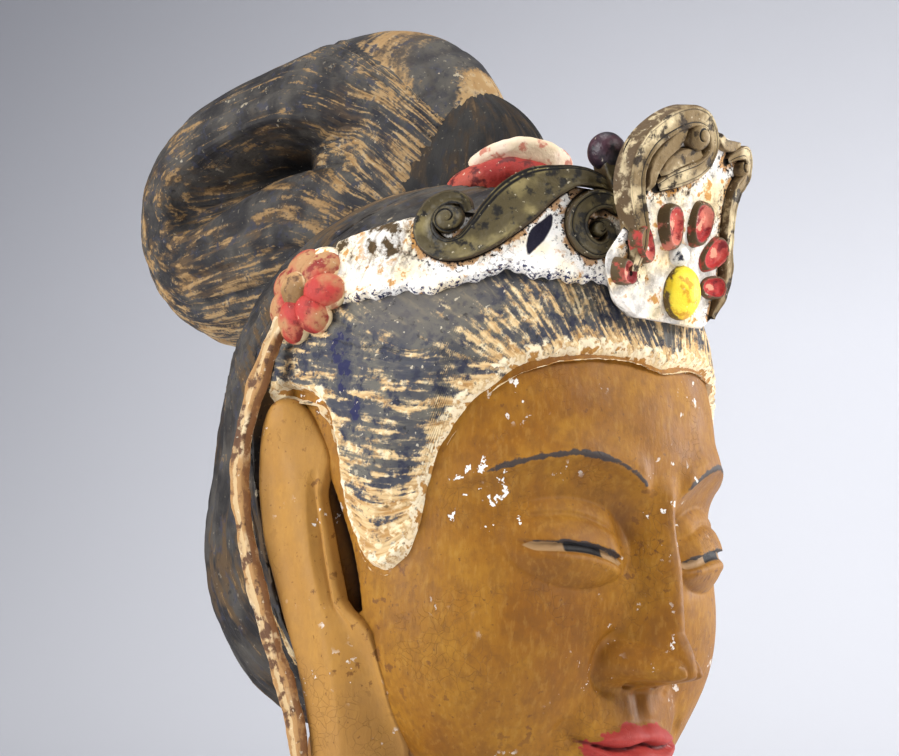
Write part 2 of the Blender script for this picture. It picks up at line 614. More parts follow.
def ear_part():
    """A long ear: a rolled rim, an inner fold, a deep hollow with a slit, and a heavy lobe."""
    columns, rows = 150, 80
    turn = full_turn(columns)
    ring = np.linspace(0.004, np.pi - 0.004, rows)[:, None]
    t, r = np.broadcast_arrays(turn, ring)
    size, face = np.sin(r) ** 0.9, np.cos(r)
    high = size * np.sin(t)
    share = size * np.cos(t)
    drawn = 0.5 * smoothstep(-share, 0, 0.7) * smoothstep(high, 0.0, 0.12) * (1 - smoothstep(high, 0.55, 0.8))
    across = share * np.interp(high, EAR_WIDTHS[:, 0], EAR_WIDTHS[:, 1]) * (1 - drawn)
    rise = high * (EAR_TOP - EAR_BOTTOM) / 2
    thick = 3.4 * np.sign(face) * np.abs(face) ** 0.45
    helix = 1.3 * bell(size - 0.9, 0.1) * smoothstep(high, 0.0, 0.5) * smoothstep(share, -0.6, 0.2)
    ridge = 1.6 * bell(share + 0.1 - 0.2 * high, 0.34) * smoothstep(high, -0.75, -0.1)
    bowl = -1.8 * bump(share, high, -0.5, 0.3, 0.3, 0.4, 0.8)
    outer = smoothstep(face, 0, 0.25)
    outward_by = thick + outer * (helix + ridge + bowl) + 0.25 * across + 0.08 * rise
    centre = np.interp(high, EAR_CENTRE[:, 0], EAR_CENTRE[:, 1])
    p = EAR_MIDDLE + np.stack([outward_by, across + centre, rise], -1)
    cheek = reach(plain_head, p * [0, 1, 1], np.array([1.0, 0, 0]) + 0 * p)[..., 0]
    merge = smoothstep(-share, 0.1, 0.95) * smoothstep(-high, -0.06, 0.12) * (1 - smoothstep(-high, 0.5, 0.8))
    p[..., 0] += (np.maximum(cheek - 0.5 + 1.2 * outer, 40) - p[..., 0]) * merge
    p = p + 0.15 * noise(p, 9, 41)[..., None]
    return surface(p, True, EAR_MIDDLE, FACELESS | {"hollow": -0.6 * outer * bowl, "pale": 1.0})


# The diadem: places on its wall are given by the distance round from the front and the height

BAND_LOW, BAND_HIGH, BAND_REACH = 72.0, 97.0, 111.0
# Its lower and upper edges: distances round from the front, then heights
BAND_FOOT = [0, 25, 43, 56, 66, 77, 90, 100, 111], [74.2, 75.6, 76.4, 75, 71, 66.5, 63, 61, 64]
BAND_CREST = [0, 30, 47, 58, 68, 78, 95, 111], [101, 103, 103, 99, 91, 91, 86, 79]
BLUE_MARK = np.array([(44.5, 93.5), (46, 90), (48.6, 85.5), (50, 81)], float)
SCROLL_CENTRE = (0, 10, 60)  # a place inside the head that every scroll faces away from
BAND_SECTION = [(-9, 0.05), (-3, -0.04), (0.6, 0.02), (1.5, 0.12), (0.9, 0.5), (0.2, 0.88), (-1.4, 1.0),
    (-6, 1.02), (-13, 0.93)]
LEAF = [(70.2, 91.5, 1.4), (72.5, 94.6, 1.8), (77.0, 94.8, 2.2), (81.0, 91.5, 2.6), (82.0, 86.0, 3.0),
    (79.5, 81.3, 3.2), (74.5, 79.0, 3.2), (68.8, 80.6, 3.9), (64.0, 85.6, 5.6), (60.2, 91.0, 7.0),
    (56.0, 96.2, 7.6), (51.0, 100.8, 6.8), (45.0, 104.0, 4.8), (38.0, 106.3, 3.0), (30.0, 106.0, 2.0),
    (20.5, 103.4, 0.8)]
FRONT_CURL = [(22.0, 98.2, 1.5), (26.2, 100.4, 2.5), (31.4, 99.9, 3.2), (35.7, 96.3, 3.4),
    (36.4, 91.2, 3.3), (33.6, 86.8, 3.0), (29.2, 85.1, 2.6), (25.4, 87.2, 2.2), (25.0, 91.0, 1.8),
    (27.6, 93.4, 1.4), (30.2, 92.0, 1.0)]
BEAD_STALK = [(21.0, 101.5, 1.6), (24.0, 106.0, 2.4), (26.5, 111.0, 3.0), (27.5, 115.0, 3.2)]
RIGHT_SCROLL = [(-20.5, 80, 1.2), (-21.0, 86, 2.0), (-21.8, 93, 2.6), (-25.0, 100, 2.9), (-26.6, 106, 3.0),
    (-26.4, 112, 3.0), (-24.2, 117.5, 3.2), (-20.2, 122.2, 3.4), (-15.0, 126.0, 3.6), (-9.4, 128.4, 3.4),
    (-4.0, 128.4, 2.8), (-0.2, 126, 2.3), (1.6, 122, 2.2), (0.6, 117.4, 2.3), (-2.8, 113.8, 2.6),
    (-7.6, 111.2, 2.9), (-12.6, 108.6, 2.6), (-17.0, 105.8, 1.4)]
RIGHT_FLUTE = [(-20.8, 104, 0.8), (-20.8, 109.6, 1.8), (-18.6, 115.0, 2.2), (-14.6, 119.4, 2.4),
    (-12.6, 123.2, 1.8), (-11.2, 125.6, 0.8)]
RIGHT_BODY = [(-17.2, 109.6, 1.0), (-13.6, 113.4, 2.3), (-9.0, 116.2, 2.6), (-4.6, 117.4, 1.8),
    (-2.0, 119.4, 0.8)]
LEFT_SCROLL = [(20.0, 71, 1.2), (22.3, 79, 2.2), (22.8, 86, 2.4), (20.4, 92.5, 2.3), (18.8, 99, 2.3),
    (18.4, 105.4, 2.4), (20.0, 111.0, 2.6), (23.2, 115.4, 2.6), (23.6, 120.0, 2.4), (20.6, 122.6, 2.2),
    (16.4, 121.6, 1.9), (13.0, 118.8, 1.0)]
TOP_FOLD = [(4.4, 125.4, 1.2), (9.0, 123.2, 1.8), (14.0, 123.6, 1.6), (18.0, 124.6, 0.8)]


def on_band(s, z, depth):
    rise = (z - BAND_LOW) / (BAND_HIGH - BAND_LOW)
    angle = s / 75.5
    x, y = np.sin(angle) * (71 - 7 * rise + depth), 16 - np.cos(angle) * (80 - 4 * rise + depth)
    return np.stack(np.broadcast_arrays(x, y, z), -1)


def on_plaque(x, z, depth):
    return np.stack(np.broadcast_arrays(x, -70 - 0.05 * (z - 68) + x * x / 220 - depth, z), -1)


def strip_distance(s, z):
    """Millimetres from places on the band's wall to the nearest edge of its scrolls, negative under them."""
    best = np.full(s.shape, 99.0)
    for stations in (LEAF, FRONT_CURL):
        for x, y, half in spread(stations, 60):
            best = np.minimum(best, np.hypot(s - x, z - y) - half)
    return best


def band_part():
    """The wall of white stucco that carries the scrolls, lumpy, with a few cracks."""
    columns, rows = 340, 40
    s = np.linspace(-BAND_REACH, BAND_REACH, columns)[None, :]
    section = spread(BAND_SECTION, rows)
    low = np.interp(np.abs(s), *BAND_FOOT)
    high = np.interp(np.abs(s), *BAND_CREST)
    low = low + 0.9 * np.sin(s / 5.1) + 0.5 * np.sin(s / 2.3) + 0.4 * np.sin(s / 0.9)
    z = low + (high - low) * section[:, 1:2]
    s = np.broadcast_to(s, z.shape)
    seat = on_band(s, z, 0)
    start = seat * [0, 0, 1]
    rays = (seat - start) / np.linalg.norm(seat - start, axis=-1, keepdims=True)
    out = np.linalg.norm(seat - start, axis=-1)
    over = np.linalg.norm(reach(hair_mass, start, rays) - start, axis=-1) + 7.2 - out
    under = strip_distance(np.abs(s), z)
    fold = np.abs(np.sin(np.pi * (0.55 * np.abs(s) + 0.8 * z + 3 * noise(seat, 12, 55)) / 7.5)) ** 0.8
    rear = smoothstep(np.abs(s), 84, 92)
    depth = section[:, 0:1] + 0.8 * noise(seat, 9, 51) + 0.4 * noise(seat, 3, 52, 2)
    depth = depth + 1.3 * rear * (fold - 0.5)
    depth = depth + 1.0 * bell(under, 3.0) + np.maximum(over, 0) * smoothstep(np.abs(s), 50, 60)
    bends = (88, 1.5 * noise(seat, 6, 53)), (97, 2 * noise(seat, 7, 54))
    crack = np.minimum(*(np.abs(np.abs(s) - at - bend) for at, bend in bends))
    crack = crack + 0.3 * (1 + noise(seat, 5, 57))
    depth = depth - 0.6 * bell(crack, 0.6)
    p = on_band(s, z, depth)
    mark, along = path_distance(np.abs(s) + 0.8 * noise(seat, 4, 56), z, BLUE_MARK)
    mark = mark - 2.2 * np.sin(np.pi * np.clip(along, 0.02, 0.98)) - 0.3
    behind = smoothstep(np.abs(s) + 5 * noise(seat, 7, 59), 76, 90)
    old = behind * smoothstep(z + 5 * noise(seat, 6, 58), 66, 77)
    attributes = {"scroll": under, "crack": crack, "mark": mark, "low": z - low, "old": old}
    return surface(p, False, (0, 0, 0), attributes, (s / 10, z / 10))


def strip_part(stations, wall, height=5.0, hollow=0.25, lines=(-0.72, -0.9), sunk=3.0, rows=110, across=26):
    """A carved scroll on a wall, along stations (round, height, half width), with incised lines."""
    line = spread(stations, rows)
    step = np.gradient(line[:, :2], axis=0)
    normal = np.stack([-step[:, 1], step[:, 0]], -1) / np.linalg.norm(step, axis=1, keepdims=True)
    a = np.linspace(-1.35, 1.35, across)[None, :]
    t = np.linspace(0, 1, rows)[:, None]
    wall_share = smoothstep(np.abs(a), 1.0, 1.35)
    place = np.sign(a) * (np.minimum(np.abs(a), 1) + 0.05 * wall_share)
    taper = 0.45 + 0.55 * smoothstep(t, 0, 0.08) * smoothstep(1 - t, 0, 0.12)
    incised = np.max([bell(a - at, 0.06) for at in lines], axis=0) if len(lines) else 0 * a
    width = line[:, 2:3]
    top = height * taper * (1 - hollow * (1 - np.minimum(np.abs(a), 1) ** 2))
    top = top - 1.1 * smoothstep(np.abs(a), 0.78, 1.0) * np.minimum(width / 3, 1)
    top = top - 0.75 * incised * np.minimum(width / 3, 1)
    s = line[:, 0:1] + normal[:, 0:1] * width * place
    z = line[:, 1:2] + normal[:, 1:2] * width * place
    seat = on_band(s, z, 0)
    carved = top + 0.35 * noise(seat, 4, 61) + 0.15 * noise(seat, 1.6, 62, 2)
    depth = carved * (1 - wall_share) - sunk * wall_share
    p = wall(s, z, depth)
    attributes = {"line": incised * (1 - wall_share), "rim": smoothstep(np.abs(a), 0.7, 1)}
    return surface(p, False, SCROLL_CENTRE, attributes, (a, t * len(stations) * 0.5))


def roll_part(s, z, radius, wall, height, turns=1.6):
    """The domed end of a scroll, with a spiral line cut into it."""
    rows, columns = 24, 56
    r = np.linspace(0.01, 1, rows)[:, None]
    angle = full_turn(columns)
    spiral = (angle / (2 * np.pi) + r * turns) % 1
    cut = np.maximum(bell(spiral, 0.09), bell(spiral - 1, 0.09))
    cut = cut * smoothstep(r, 0.15, 0.3) * (1 - smoothstep(r, 0.85, 1))
    depth = height * np.sqrt(np.maximum(1 - r**3, 0)) - 0.9 * cut - 2.5 * smoothstep(r, 0.93, 1)
    p = wall(s + radius * r * np.cos(angle), z + radius * r * np.sin(angle), depth)
    attributes = {"line": cut, "rim": smoothstep(r, 0.7, 1)}
    return surface(p, True, SCROLL_CENTRE, attributes, (r * np.cos(angle), r * np.sin(angle)))


def scroll_parts():
    parts = []
    for part in (
        strip_part(LEAF, on_band, 5.6, 0.34, rows=190, across=32),
        strip_part(FRONT_CURL, on_band, 5.4, 0.12, lines=(-0.55, 0.6), rows=140),
        strip_part(BEAD_STALK, on_band, 5.0, 0.1, lines=(0.4,), rows=40, across=20),
        roll_part(75.6, 88.6, 5.0, on_band, 6.4),
        roll_part(29.0, 91.6, 2.9, on_band, 5.6, 1.1),
    ):
        parts += both_sides(part)
    return parts


def plaque_scroll_parts():
    return [
        strip_part(RIGHT_SCROLL, on_plaque, 3.7, 0.25, lines=(-0.5, 0.6), rows=200, across=24),
        strip_part(RIGHT_FLUTE, on_plaque, 3.0, 0.1, lines=(), rows=60, across=16),
        strip_part(RIGHT_BODY, on_plaque, 2.6, 0.1, lines=(0.2,), rows=60, across=16),
        roll_part(-5.6, 122.6, 4.3, on_plaque, 5.2, 1.2),
        strip_part(LEFT_SCROLL, on_plaque, 3.4, 0.25, lines=(-0.6, 0.4), rows=180, across=24),
        strip_part(TOP_FOLD, on_plaque, 2.4, 0.1, lines=(), rows=60, across=18),
        roll_part(20.6, 117.6, 2.6, on_plaque, 4.2, 1.0),
    ]


# The plaque's edges: (height, to the figure's right, to its left)
PLAQUE_EDGES = [(67, -16, 16), (71, -23, 22), (77, -27, 26.8), (83, -29, 27.7), (90, -26, 25),
    (95, -24, 22), (102, -26.8, 21), (109, -29.4, 20.8), (116, -28.8, 25), (120, -26.4, 26.2),
    (123, -23.6, 23.4), (125, -21, 19), (126.2, -19.2, 8), (128, -16.2, 4.4), (130, -13, 2.2),
    (131.4, -9.6, 0), (132, -8, -3)]


def plaque_part():
    """The leaf-shaped ground of the front plaque, closed behind, with rounded edges."""
    columns, rows = 130, 120
    edges = spread(PLAQUE_EDGES, rows)
    a = np.linspace(0, 1, columns, endpoint=False)[None, :]
    front = a < 0.72
    across = np.where(front, a / 0.72, (1 - a) / 0.28)
    rounded = 0.5 - 0.5 * np.cos(np.pi * across)
    z, right, left = (edges[:, k:k + 1] + 0 * a for k in range(3))
    size = np.where(front, 1.0, 0.84)
    x = size * (right + (left - right) * (0.25 * rounded + 0.75 * across))
    z = np.where(front, z, 67 + (z - 67) * 0.955)
    seat = on_plaque(x, z, 0)
    ends = smoothstep(np.minimum(across, 1 - across), 0, 0.035)
    top = smoothstep(np.linspace(1, 0, rows)[:, None], 0, 0.03)
    nearest = np.full(x.shape, 99.0)
    for stations in (RIGHT_SCROLL, RIGHT_FLUTE, RIGHT_BODY, LEFT_SCROLL):
        for sx, sz, half in spread(stations, 50):
            nearest = np.minimum(nearest, np.hypot(x - sx, z - sz) - half)
    depth = 0.5 * noise(seat, 7, 71) + 0.25 * noise(seat, 2.5, 72, 2) - 1.6 * (1 - ends * top)
    depth = depth - 5 * bump(x, z, -13.2, 78.3, 1.5, 1.7, 0.6)
    depth = np.where(front, depth, -7.6 + 1.4 * (1 - ends) + 0.4 * noise(seat, 8, 73))
    p = on_plaque(x, z, depth)
    cap = p.mean(1, keepdims=True) + 0 * p
    p = np.concatenate([cap[:1], p, cap[-1:]])
    pad = lambda values: np.concatenate([values[:1], values, values[-1:]])
    upper = smoothstep(z, 100, 108) * smoothstep(4 - x + (z - 112) * 0.6, 0, 4)
    attributes = {"scroll": pad(np.where(front, nearest, 9.0)), "crack": 9.0, "mark": 9.0, "low": 9.0,
                  "old": pad(np.where(front, 0.35 + 0.65 * upper, 1.0))}
    return surface(p, True, (0, -66, 100), attributes, (pad(x) / 10, pad(z) / 10))


# What repeats: petals and beads are set on points by geometry nodes

def petal_shape(name, dish=0.55):
    """A petal about the origin, facing -Y: a raised rim round a sunk middle."""
    rows, columns = 18, 40
    r = np.linspace(0.01, 1, rows)[:, None]
    angle = full_turn(columns)
    out = 1 - 0.1 * np.cos(angle * 2)
    high = 0.62 * bell(r - 0.8, 0.16) + (0.6 - dish) * (1 - r**2)
    high = high - 0.9 * smoothstep(r, 0.9, 1.0)
    egg = 1 + 0.18 * np.sin(angle)
    x, z = r * out * egg * np.cos(angle), r * 1.05 * np.sin(angle) + 0 * egg
    attributes = {"rim": smoothstep(r, 0.6, 0.86), "middle": 1 - 1.6 * r}
    p = np.stack([x, -high + 0 * x, z], -1)
    return mesh_object(name, *surface(p, True, (0, 3, 0), attributes, place=as_is))


def lobe_shape(name):
    """A domed lobe or bead of radius 1 about the origin."""
    rows, columns = 20, 28
    fall = np.linspace(0.01, np.pi - 0.01, rows)[:, None]
    angle = full_turn(columns)
    out = np.sin(fall) ** 0.8
    p = np.stack([out * np.cos(angle), -np.cos(fall) + 0 * angle, out * np.sin(angle)], -1)
    attributes = {"rim": smoothstep(fall, 1.0, 1.4), "middle": bell(fall, 0.5)}
    return mesh_object(name, *surface(p, True, (0, 0, 0), attributes, place=as_is))


def repeat_group():
    """A node group that sets a shape on every point, turned and sized by the points' own attributes."""
    tree = bpy.data.node_groups.new("Repeat On Points", "GeometryNodeTree")
    sockets = {"Geometry": "Geometry", "Shape": "Object", "Material": "Material", "Size Variation": "Float",
               "Seed": "Int"}
    for name, kind in sockets.items():
        tree.interface.new_socket(name, in_out="INPUT", socket_type="NodeSocket" + kind)
    tree.interface.new_socket("Geometry", in_out="OUTPUT", socket_type="NodeSocketGeometry")
    nodes, link = tree.nodes, tree.links.new
    given, done = nodes.new("NodeGroupInput"), nodes.new("NodeGroupOutput")
    turn, size = (nodes.new("GeometryNodeInputNamedAttribute") for _ in range(2))
    for node, name in ((turn, "turn"), (size, "size")):
        node.data_type = "FLOAT_VECTOR"
        node.inputs["Name"].default_value = name
    shape = nodes.new("GeometryNodeObjectInfo")
    link(given.outputs["Shape"], shape.inputs["Object"])
    vary = nodes.new("FunctionNodeRandomValue")
    vary.data_type = "FLOAT"
    least, most = (nodes.new("ShaderNodeMath") for _ in range(2))
    for node, operation, to in ((least, "SUBTRACT", "Min"), (most, "ADD", "Max")):
        node.operation = operation
        node.inputs[0].default_value = 1.0
        link(given.outputs["Size Variation"], node.inputs[1])
        link(node.outputs[0], next(i for i in vary.inputs if i.name == to and i.type == "VALUE"))
    link(given.outputs["Seed"], vary.inputs["Seed"])
    scaled = nodes.new("ShaderNodeVectorMath")
    scaled.operation = "SCALE"
    link(size.outputs["Attribute"], scaled.inputs[0])
    link(next(o for o in vary.outputs if o.type == "VALUE"), scaled.inputs["Scale"])
    place = nodes.new("GeometryNodeInstanceOnPoints")
    link(given.outputs["Geometry"], place.inputs["Points"])
    link(shape.outputs["Geometry"], place.inputs["Instance"])
    link(turn.outputs["Attribute"], place.inputs["Rotation"])
    link(scaled.outputs["Vector"], place.inputs["Scale"])
    real, paint = nodes.new("GeometryNodeRealizeInstances"), nodes.new("GeometryNodeSetMaterial")
    link(place.outputs["Instances"], real.inputs["Geometry"])
    link(real.outputs["Geometry"], paint.inputs["Geometry"])
    link(given.outputs["Material"], paint.inputs["Material"])
    link(paint.outputs["Geometry"], done.inputs["Geometry"])
    return tree


def repeat(name, shape, places, turns, sizes, material, variation=0.06, seed=1):
    """Sets copies of a shape on points in the row's frame, in millimetres, and bakes them into one mesh."""
    points = bpy.data.meshes.new(name)
    points.vertices.add(len(places))
    points.vertices.foreach_set("co", (np.array(places) * 0.001).astype(np.float32).ravel())
    for key, values in (("turn", turns), ("size", sizes)):
        layer = points.attributes.new(key, "FLOAT_VECTOR", "POINT")
        layer.data.foreach_set("vector", np.array(values, np.float32).ravel())
    piece = bpy.data.objects.new(name, points)
    bpy.context.scene.collection.objects.link(piece)
    tree = bpy.data.node_groups.get("Repeat On Points") or repeat_group()
    modifier = piece.modifiers.new("Repeat", "NODES")
    modifier.node_group = tree
    given = {"Shape": shape, "Material": material, "Size Variation": variation, "Seed": seed}
    for item in tree.interface.items_tree:
        if item.in_out == "INPUT" and item.name in given:
            modifier[item.identifier] = given[item.name]
    bpy.context.view_layer.update()
    evaluated = piece.evaluated_get(bpy.context.evaluated_depsgraph_get())
    baked = bpy.data.meshes.new_from_object(evaluated)
    piece.modifiers.clear()
    piece.data = baked
    baked.materials.clear()
    baked.materials.append(material)
    bpy.data.meshes.remove(points)
    bpy.data.objects.remove(shape)
    return piece


def euler(columns):
    """Euler angles of a frame given by its x, y and z axes."""
    x, y, z = columns
    return tuple(Matrix((x, y, z)).transposed().to_euler())


def turned(out, up):
    """Euler angles that face a shape's -Y along out and its z along up."""
    y = -np.asarray(out, float)
    y /= np.linalg.norm(y)
    x = np.cross(y, up)
    x /= np.linalg.norm(x)
    return euler((tuple(x), tuple(y), tuple(np.cross(x, y))))


def nodded(vector):
    return nod(np.asarray(vector, float)) - nod(np.zeros(3))


# across, height, tilt in degrees, size
PETALS = [(-8.8, 95.2, -12, 1.0), (3.8, 98.0, 10, 1.04), (-18.8, 88.2, -46, 0.92), (13.2, 89.8, 44, 0.94),
    (-23.6, 79.2, -80, 0.82), (15.6, 80.0, 84, 0.84)]


def flower_places():
    """Where the petals round the boss stand, with their turns and sizes."""
    places, turns, sizes = [], [], []
    for x, z, tilt, size in PETALS:
        t = np.radians(tilt)
        places.append(nod(on_plaque(x, z, 1.0)))
        out = nodded([-x / 80, -1, 0.05])
        turns.append(turned(out, nodded([np.sin(t), 0, np.cos(t)])))
        sizes.append((5.0 * size, 2.8, 6.8 * size))
    return places, turns, sizes


ROSETTE_AT, ROSETTE_TILT = np.array([75.0, 13.0, 61.0]), np.radians(14)


def rosette_places(lobes, reach_out, size, lift, twist=0.0):
    """Lobes in a ring round the middle of the rosette over each ear."""
    places, turns, sizes = [], [], []
    c, s = np.cos(ROSETTE_TILT), np.sin(ROSETTE_TILT)
    for side in (1, -1):
        out = np.array([side * c, 0, s])
        for k in range(lobes):
            angle = 2 * np.pi * (k + twist) / lobes
            up = np.array([-side * s * np.sin(angle), np.cos(angle), c * np.sin(angle)])
            at = ROSETTE_AT * [side, 1, 1] + up * reach_out + out * lift
            places.append(nod(at))
            turns.append(turned(nodded(out + 0.5 * up), nodded(up)))
            sizes.append(size)
    return places, turns, sizes


def dome_part(centre, radii, up, out, seed, lumps=0.4, far=1.9):
    """A lumpy round boss about a centre in the head's frame, closed as far round as the angle given."""
    rows, columns = 34, 60
    fall = np.linspace(0.01, far, rows)[:, None]
    angle = full_turn(columns)
    out, up = np.asarray(out, float), np.asarray(up, float)
    side = np.cross(up, out)
    local = np.stack([np.sin(fall) * np.cos(angle) * radii[0], np.sin(fall) * np.sin(angle) * radii[1],
                      np.cos(fall) * radii[2] + 0 * angle], -1)
    p = np.asarray(centre, float) + local[..., :1] * side + local[..., 1:2] * up + local[..., 2:] * out
    p = p + (lumps * noise(p, 5, seed))[..., None] * (out + 0.4 * up)
    return surface(p, True, centre, {"rim": smoothstep(fall, 0.9, 1.5), "middle": bell(fall, 0.7)})


# The ribbons and the tie

RIBBON = [(76, 15, 60), (80, 19, 46), (83, 22, 26), (84, 22, 4), (82.5, 14, -20), (79, 4, -42),
    (75, -8, -66), (70, -16, -100), (62, -24, -144)]


def ribbon_part():
    """A flat ribbon that drops from the rosette behind the ear to the shoulder, creased along its middle."""
    rows, columns = 220, 22
    line = spread(RIBBON, rows)
    ahead = np.gradient(line, axis=0)
    ahead /= np.linalg.norm(ahead, axis=1, keepdims=True)
    out = np.array([1.0, 0, 0]) - ahead * ahead[:, :1]
    out /= np.linalg.norm(out, axis=1, keepdims=True)
    side = np.cross(ahead, out)
    angle = full_turn(columns)
    t = np.linspace(0, 1, rows)[:, None]
    a, b = np.cos(angle), np.sin(angle)
    half = 2.9 + 0.4 * np.sin(t * 37) + 0.3 * np.sin(t * 91 + 1)
    across = half * np.sign(a) * np.abs(a) ** 0.8 + 0 * t
    thick = 2.3 * np.sign(b) * np.abs(b) ** 0.6 - 0.9 * bell(a, 0.28) * (b > 0) + 0 * t
    p = line[:, None, :] + across[..., None] * side[:, None, :] + thick[..., None] * out[:, None, :]
    p = p + (0.5 * noise(p, 5, 81) + 0.25 * noise(p, 2, 82, 2))[..., None] * out[:, None, :]
    attributes = {"rim": smoothstep(np.abs(a), 0.72, 1.0), "middle": bell(a, 0.3)}
    return surface(p, True, line[:, None, :], attributes, (across / 10, t * 22))


def tie_part(radius, roll, lean, centre, flat=1.0, seed=91, folds=3):
    """A wrapped band round the root of the topknot, with shallow lengthwise folds."""
    rows, columns = 160, 36
    around = np.linspace(0, 2 * np.pi, rows, endpoint=False)[:, None]
    angle = full_turn(columns)
    seat = np.stack(np.broadcast_arrays(40 * np.cos(around), 40 * np.sin(around), 5 * angle), -1)
    size = roll * (1 + 0.12 * np.cos(folds * angle + 2.0 * np.sin(around)) + 0.16 * noise(seat, 16, seed))
    out = radius + size * np.cos(angle)
    up = flat * size * np.sin(angle) + 1.5 * np.sin(2 * around)
    x, y, z = out * np.cos(around), out * np.sin(around), up + 0 * around
    c, s = np.cos(lean), np.sin(lean)
    p = np.stack([x, y * c - z * s, y * s + z * c], -1) + np.asarray(centre, float)
    attributes = {"rim": (0.5 + 0.5 * np.cos(folds * angle + 2.0 * np.sin(around))).ravel(), "middle": 0.0}
    uv = np.stack([angle + 0 * around, around * 6 + 0 * angle], -1).reshape(-1, 2)
    points = nod(p).reshape(-1, 3)
    faces = grid_faces(rows + 1, columns, True) % (rows * columns)
    core = np.stack([radius * np.cos(around), radius * np.sin(around) * c, radius * np.sin(around) * s], -1)
    core = nod(np.repeat((core + np.asarray(centre, float)).reshape(rows, 3), columns, axis=0))
    return points, outward(points, faces, core[faces[:, 0]]), attributes, uv


def root_part():
    """The hair drawn up from the crown to the topknot."""
    rows, columns = 60, 160
    fall = np.linspace(0.02, 2.6, rows)[:, None]
    angle = full_turn(columns)
    at, radii = np.array([0, 36.0, 103.0]), np.array([23.0, 46, 37])
    ring = np.sin(fall)
    unit = np.stack(np.broadcast_arrays(ring * np.cos(angle), ring * np.sin(angle), np.cos(fall)), -1)
    phase = angle * 32 + 2 * noise(unit * 40, 22, 35)
    coarse, fine = carve(phase, 9.1), carve(phase, 3.05, 0.7)
    p = at + unit * radii * (1 + (0.9 * coarse + 0.6 * fine - 0.8)[..., None] / 38)
    attributes = {"groove": groove(coarse, fine), "edge": 20.0, "bare": -0.1, "navy": 0.0, "dark": 1.0,
                  "deep": 0.78}
    return surface(p, True, at, attributes, (phase / 10, fall * 4))


# The neck, shoulders and robe, in the row's frame

def body_part():
    """The bare neck and chest."""
    rows, columns = 120, 180
    around = full_turn(columns)
    z = np.linspace(11, 162, rows)[:, None]
    p = reach(body, on_axis(z + 0 * around, 6), level_rays(around + 0 * z))
    away = slope(body, p)
    front = bell(p[..., 0], 40) * (p[..., 1] < 0)
    beside = np.abs(p[..., 0])
    bone = 1.8 * bell(p[..., 2] - 84 - beside * 0.22, 5) * smoothstep(beside, 8, 18) * (p[..., 1] < 0)
    notch = -2.5 * bump(p[..., 0], p[..., 2], 0, 82, 9, 8) * front
    p = p + away * (bone + notch + 0.16 * noise(p, 14, 3))[..., None]
    crease = bell(np.cos(np.pi * p[..., 2] / CREASE_PITCH), 0.3) * smoothstep(p[..., 2], 92, 104)
    return surface(p, True, (0, 6, 90), FACELESS | {"hollow": 1.4 * crease}, place=as_is)


def robe_part():
    """The robe, its neckline a deep V with a flat hem, its folds running down from the shoulders."""
    columns, rows = 300, 100
    around = full_turn(columns)
    turn = np.where(around > np.pi, around - 2 * np.pi, around)
    top = np.interp(np.degrees(np.abs(turn)), NECKLINE[:, 0], NECKLINE[:, 1])
    field = lambda q: body(q) - ROBE_LIFT
    v = np.linspace(0, 1, rows)[:, None]
    edge = reach(field, on_axis(top, 6), level_rays(turn))
    centre = np.array([0.0, 6, 6])
    from_centre = edge - centre
    steep = np.arctan2(from_centre[..., 2], np.hypot(from_centre[..., 0], from_centre[..., 1]))
    level = np.arctan2(-6.0, np.hypot(from_centre[..., 0], from_centre[..., 1]))
    pitch = steep + (level - steep) * v
    round_ = np.arctan2(from_centre[..., 0], -from_centre[..., 1]) + 0 * v
    rays = np.stack([np.sin(round_) * np.cos(pitch), -np.cos(round_) * np.cos(pitch), np.sin(pitch)], -1)
    p = reach(field, centre, rays)
    away = slope(field, p, 2.0)
    down = np.linalg.norm(p - edge, axis=-1)
    sweep = np.abs(turn) * 34 + 10 * np.sin(turn * 2) - down * (0.35 * np.cos(turn))
    fold = np.abs(np.sin(np.pi * (sweep + 3 * noise(p, 30, 101)) / 15)) ** 0.7
    hem = smoothstep(down, 9.5, 8.2)
    relief = 2.2 * fold * smoothstep(down, 9, 22) * (1 - hem) - 0.9 + 0.7 * hem - 0.9 * bell(down - 9.8, 0.9)
    rolled = -2.6 * (1 - smoothstep(down, 0, 1.6))
    p = p + away * (relief + rolled + 0.25 * noise(p, 8, 102))[..., None]
    inner = edge[0] - slope(field, edge)[0] * 7
    p = np.concatenate([inner[None], p])
    p[..., 2] = np.maximum(p[..., 2], 0)
    pad = lambda values: np.concatenate([values[:1], values])
    attributes = {"rim": pad(hem), "middle": pad(fold * (1 - hem)), "line": pad(bell(down - 9.8, 0.9))}
    return surface(p, True, (0, 6, 20), attributes, (pad(sweep) / 10, pad(down) / 10), as_is)


def floor_part():
    """The flat underside."""
    around = np.linspace(0, 2 * np.pi, 120, endpoint=False)
    field = lambda q: body(q) - ROBE_LIFT
    rim = reach(field, on_axis(np.ones(120), 6), level_rays(around))
    share = np.linspace(0.02, 1.0, 8)[:, None, None]
    p = np.array([0.0, 6, 0]) + (rim - [0, 6, 0]) * share
    p[..., 2] = 0
    return p.reshape(-1, 3), grid_faces(8, 120, True)[:, ::-1], {"rim": 0.0, "middle": 0.0, "line": 0.0}, None


def necklace_places():
    places, turns, sizes = [], [], []
    for turn in np.radians(np.linspace(-72, 72, 17)):
        ray = np.array([np.sin(turn), -np.cos(turn), 0])
        at = reach(body, np.array([0.0, 6, 76 - 16 * np.cos(turn) ** 2]), ray[None])[0]
        places.append(at + ray * 0.8)
        turns.append(turned(ray, np.array([0, 0, 1.0])))
        sizes.append((4.9, 4.9, 4.9) if abs(turn) > 0.02 else (6.2, 5.6, 7.4))
    return places, turns, sizes


# Paint

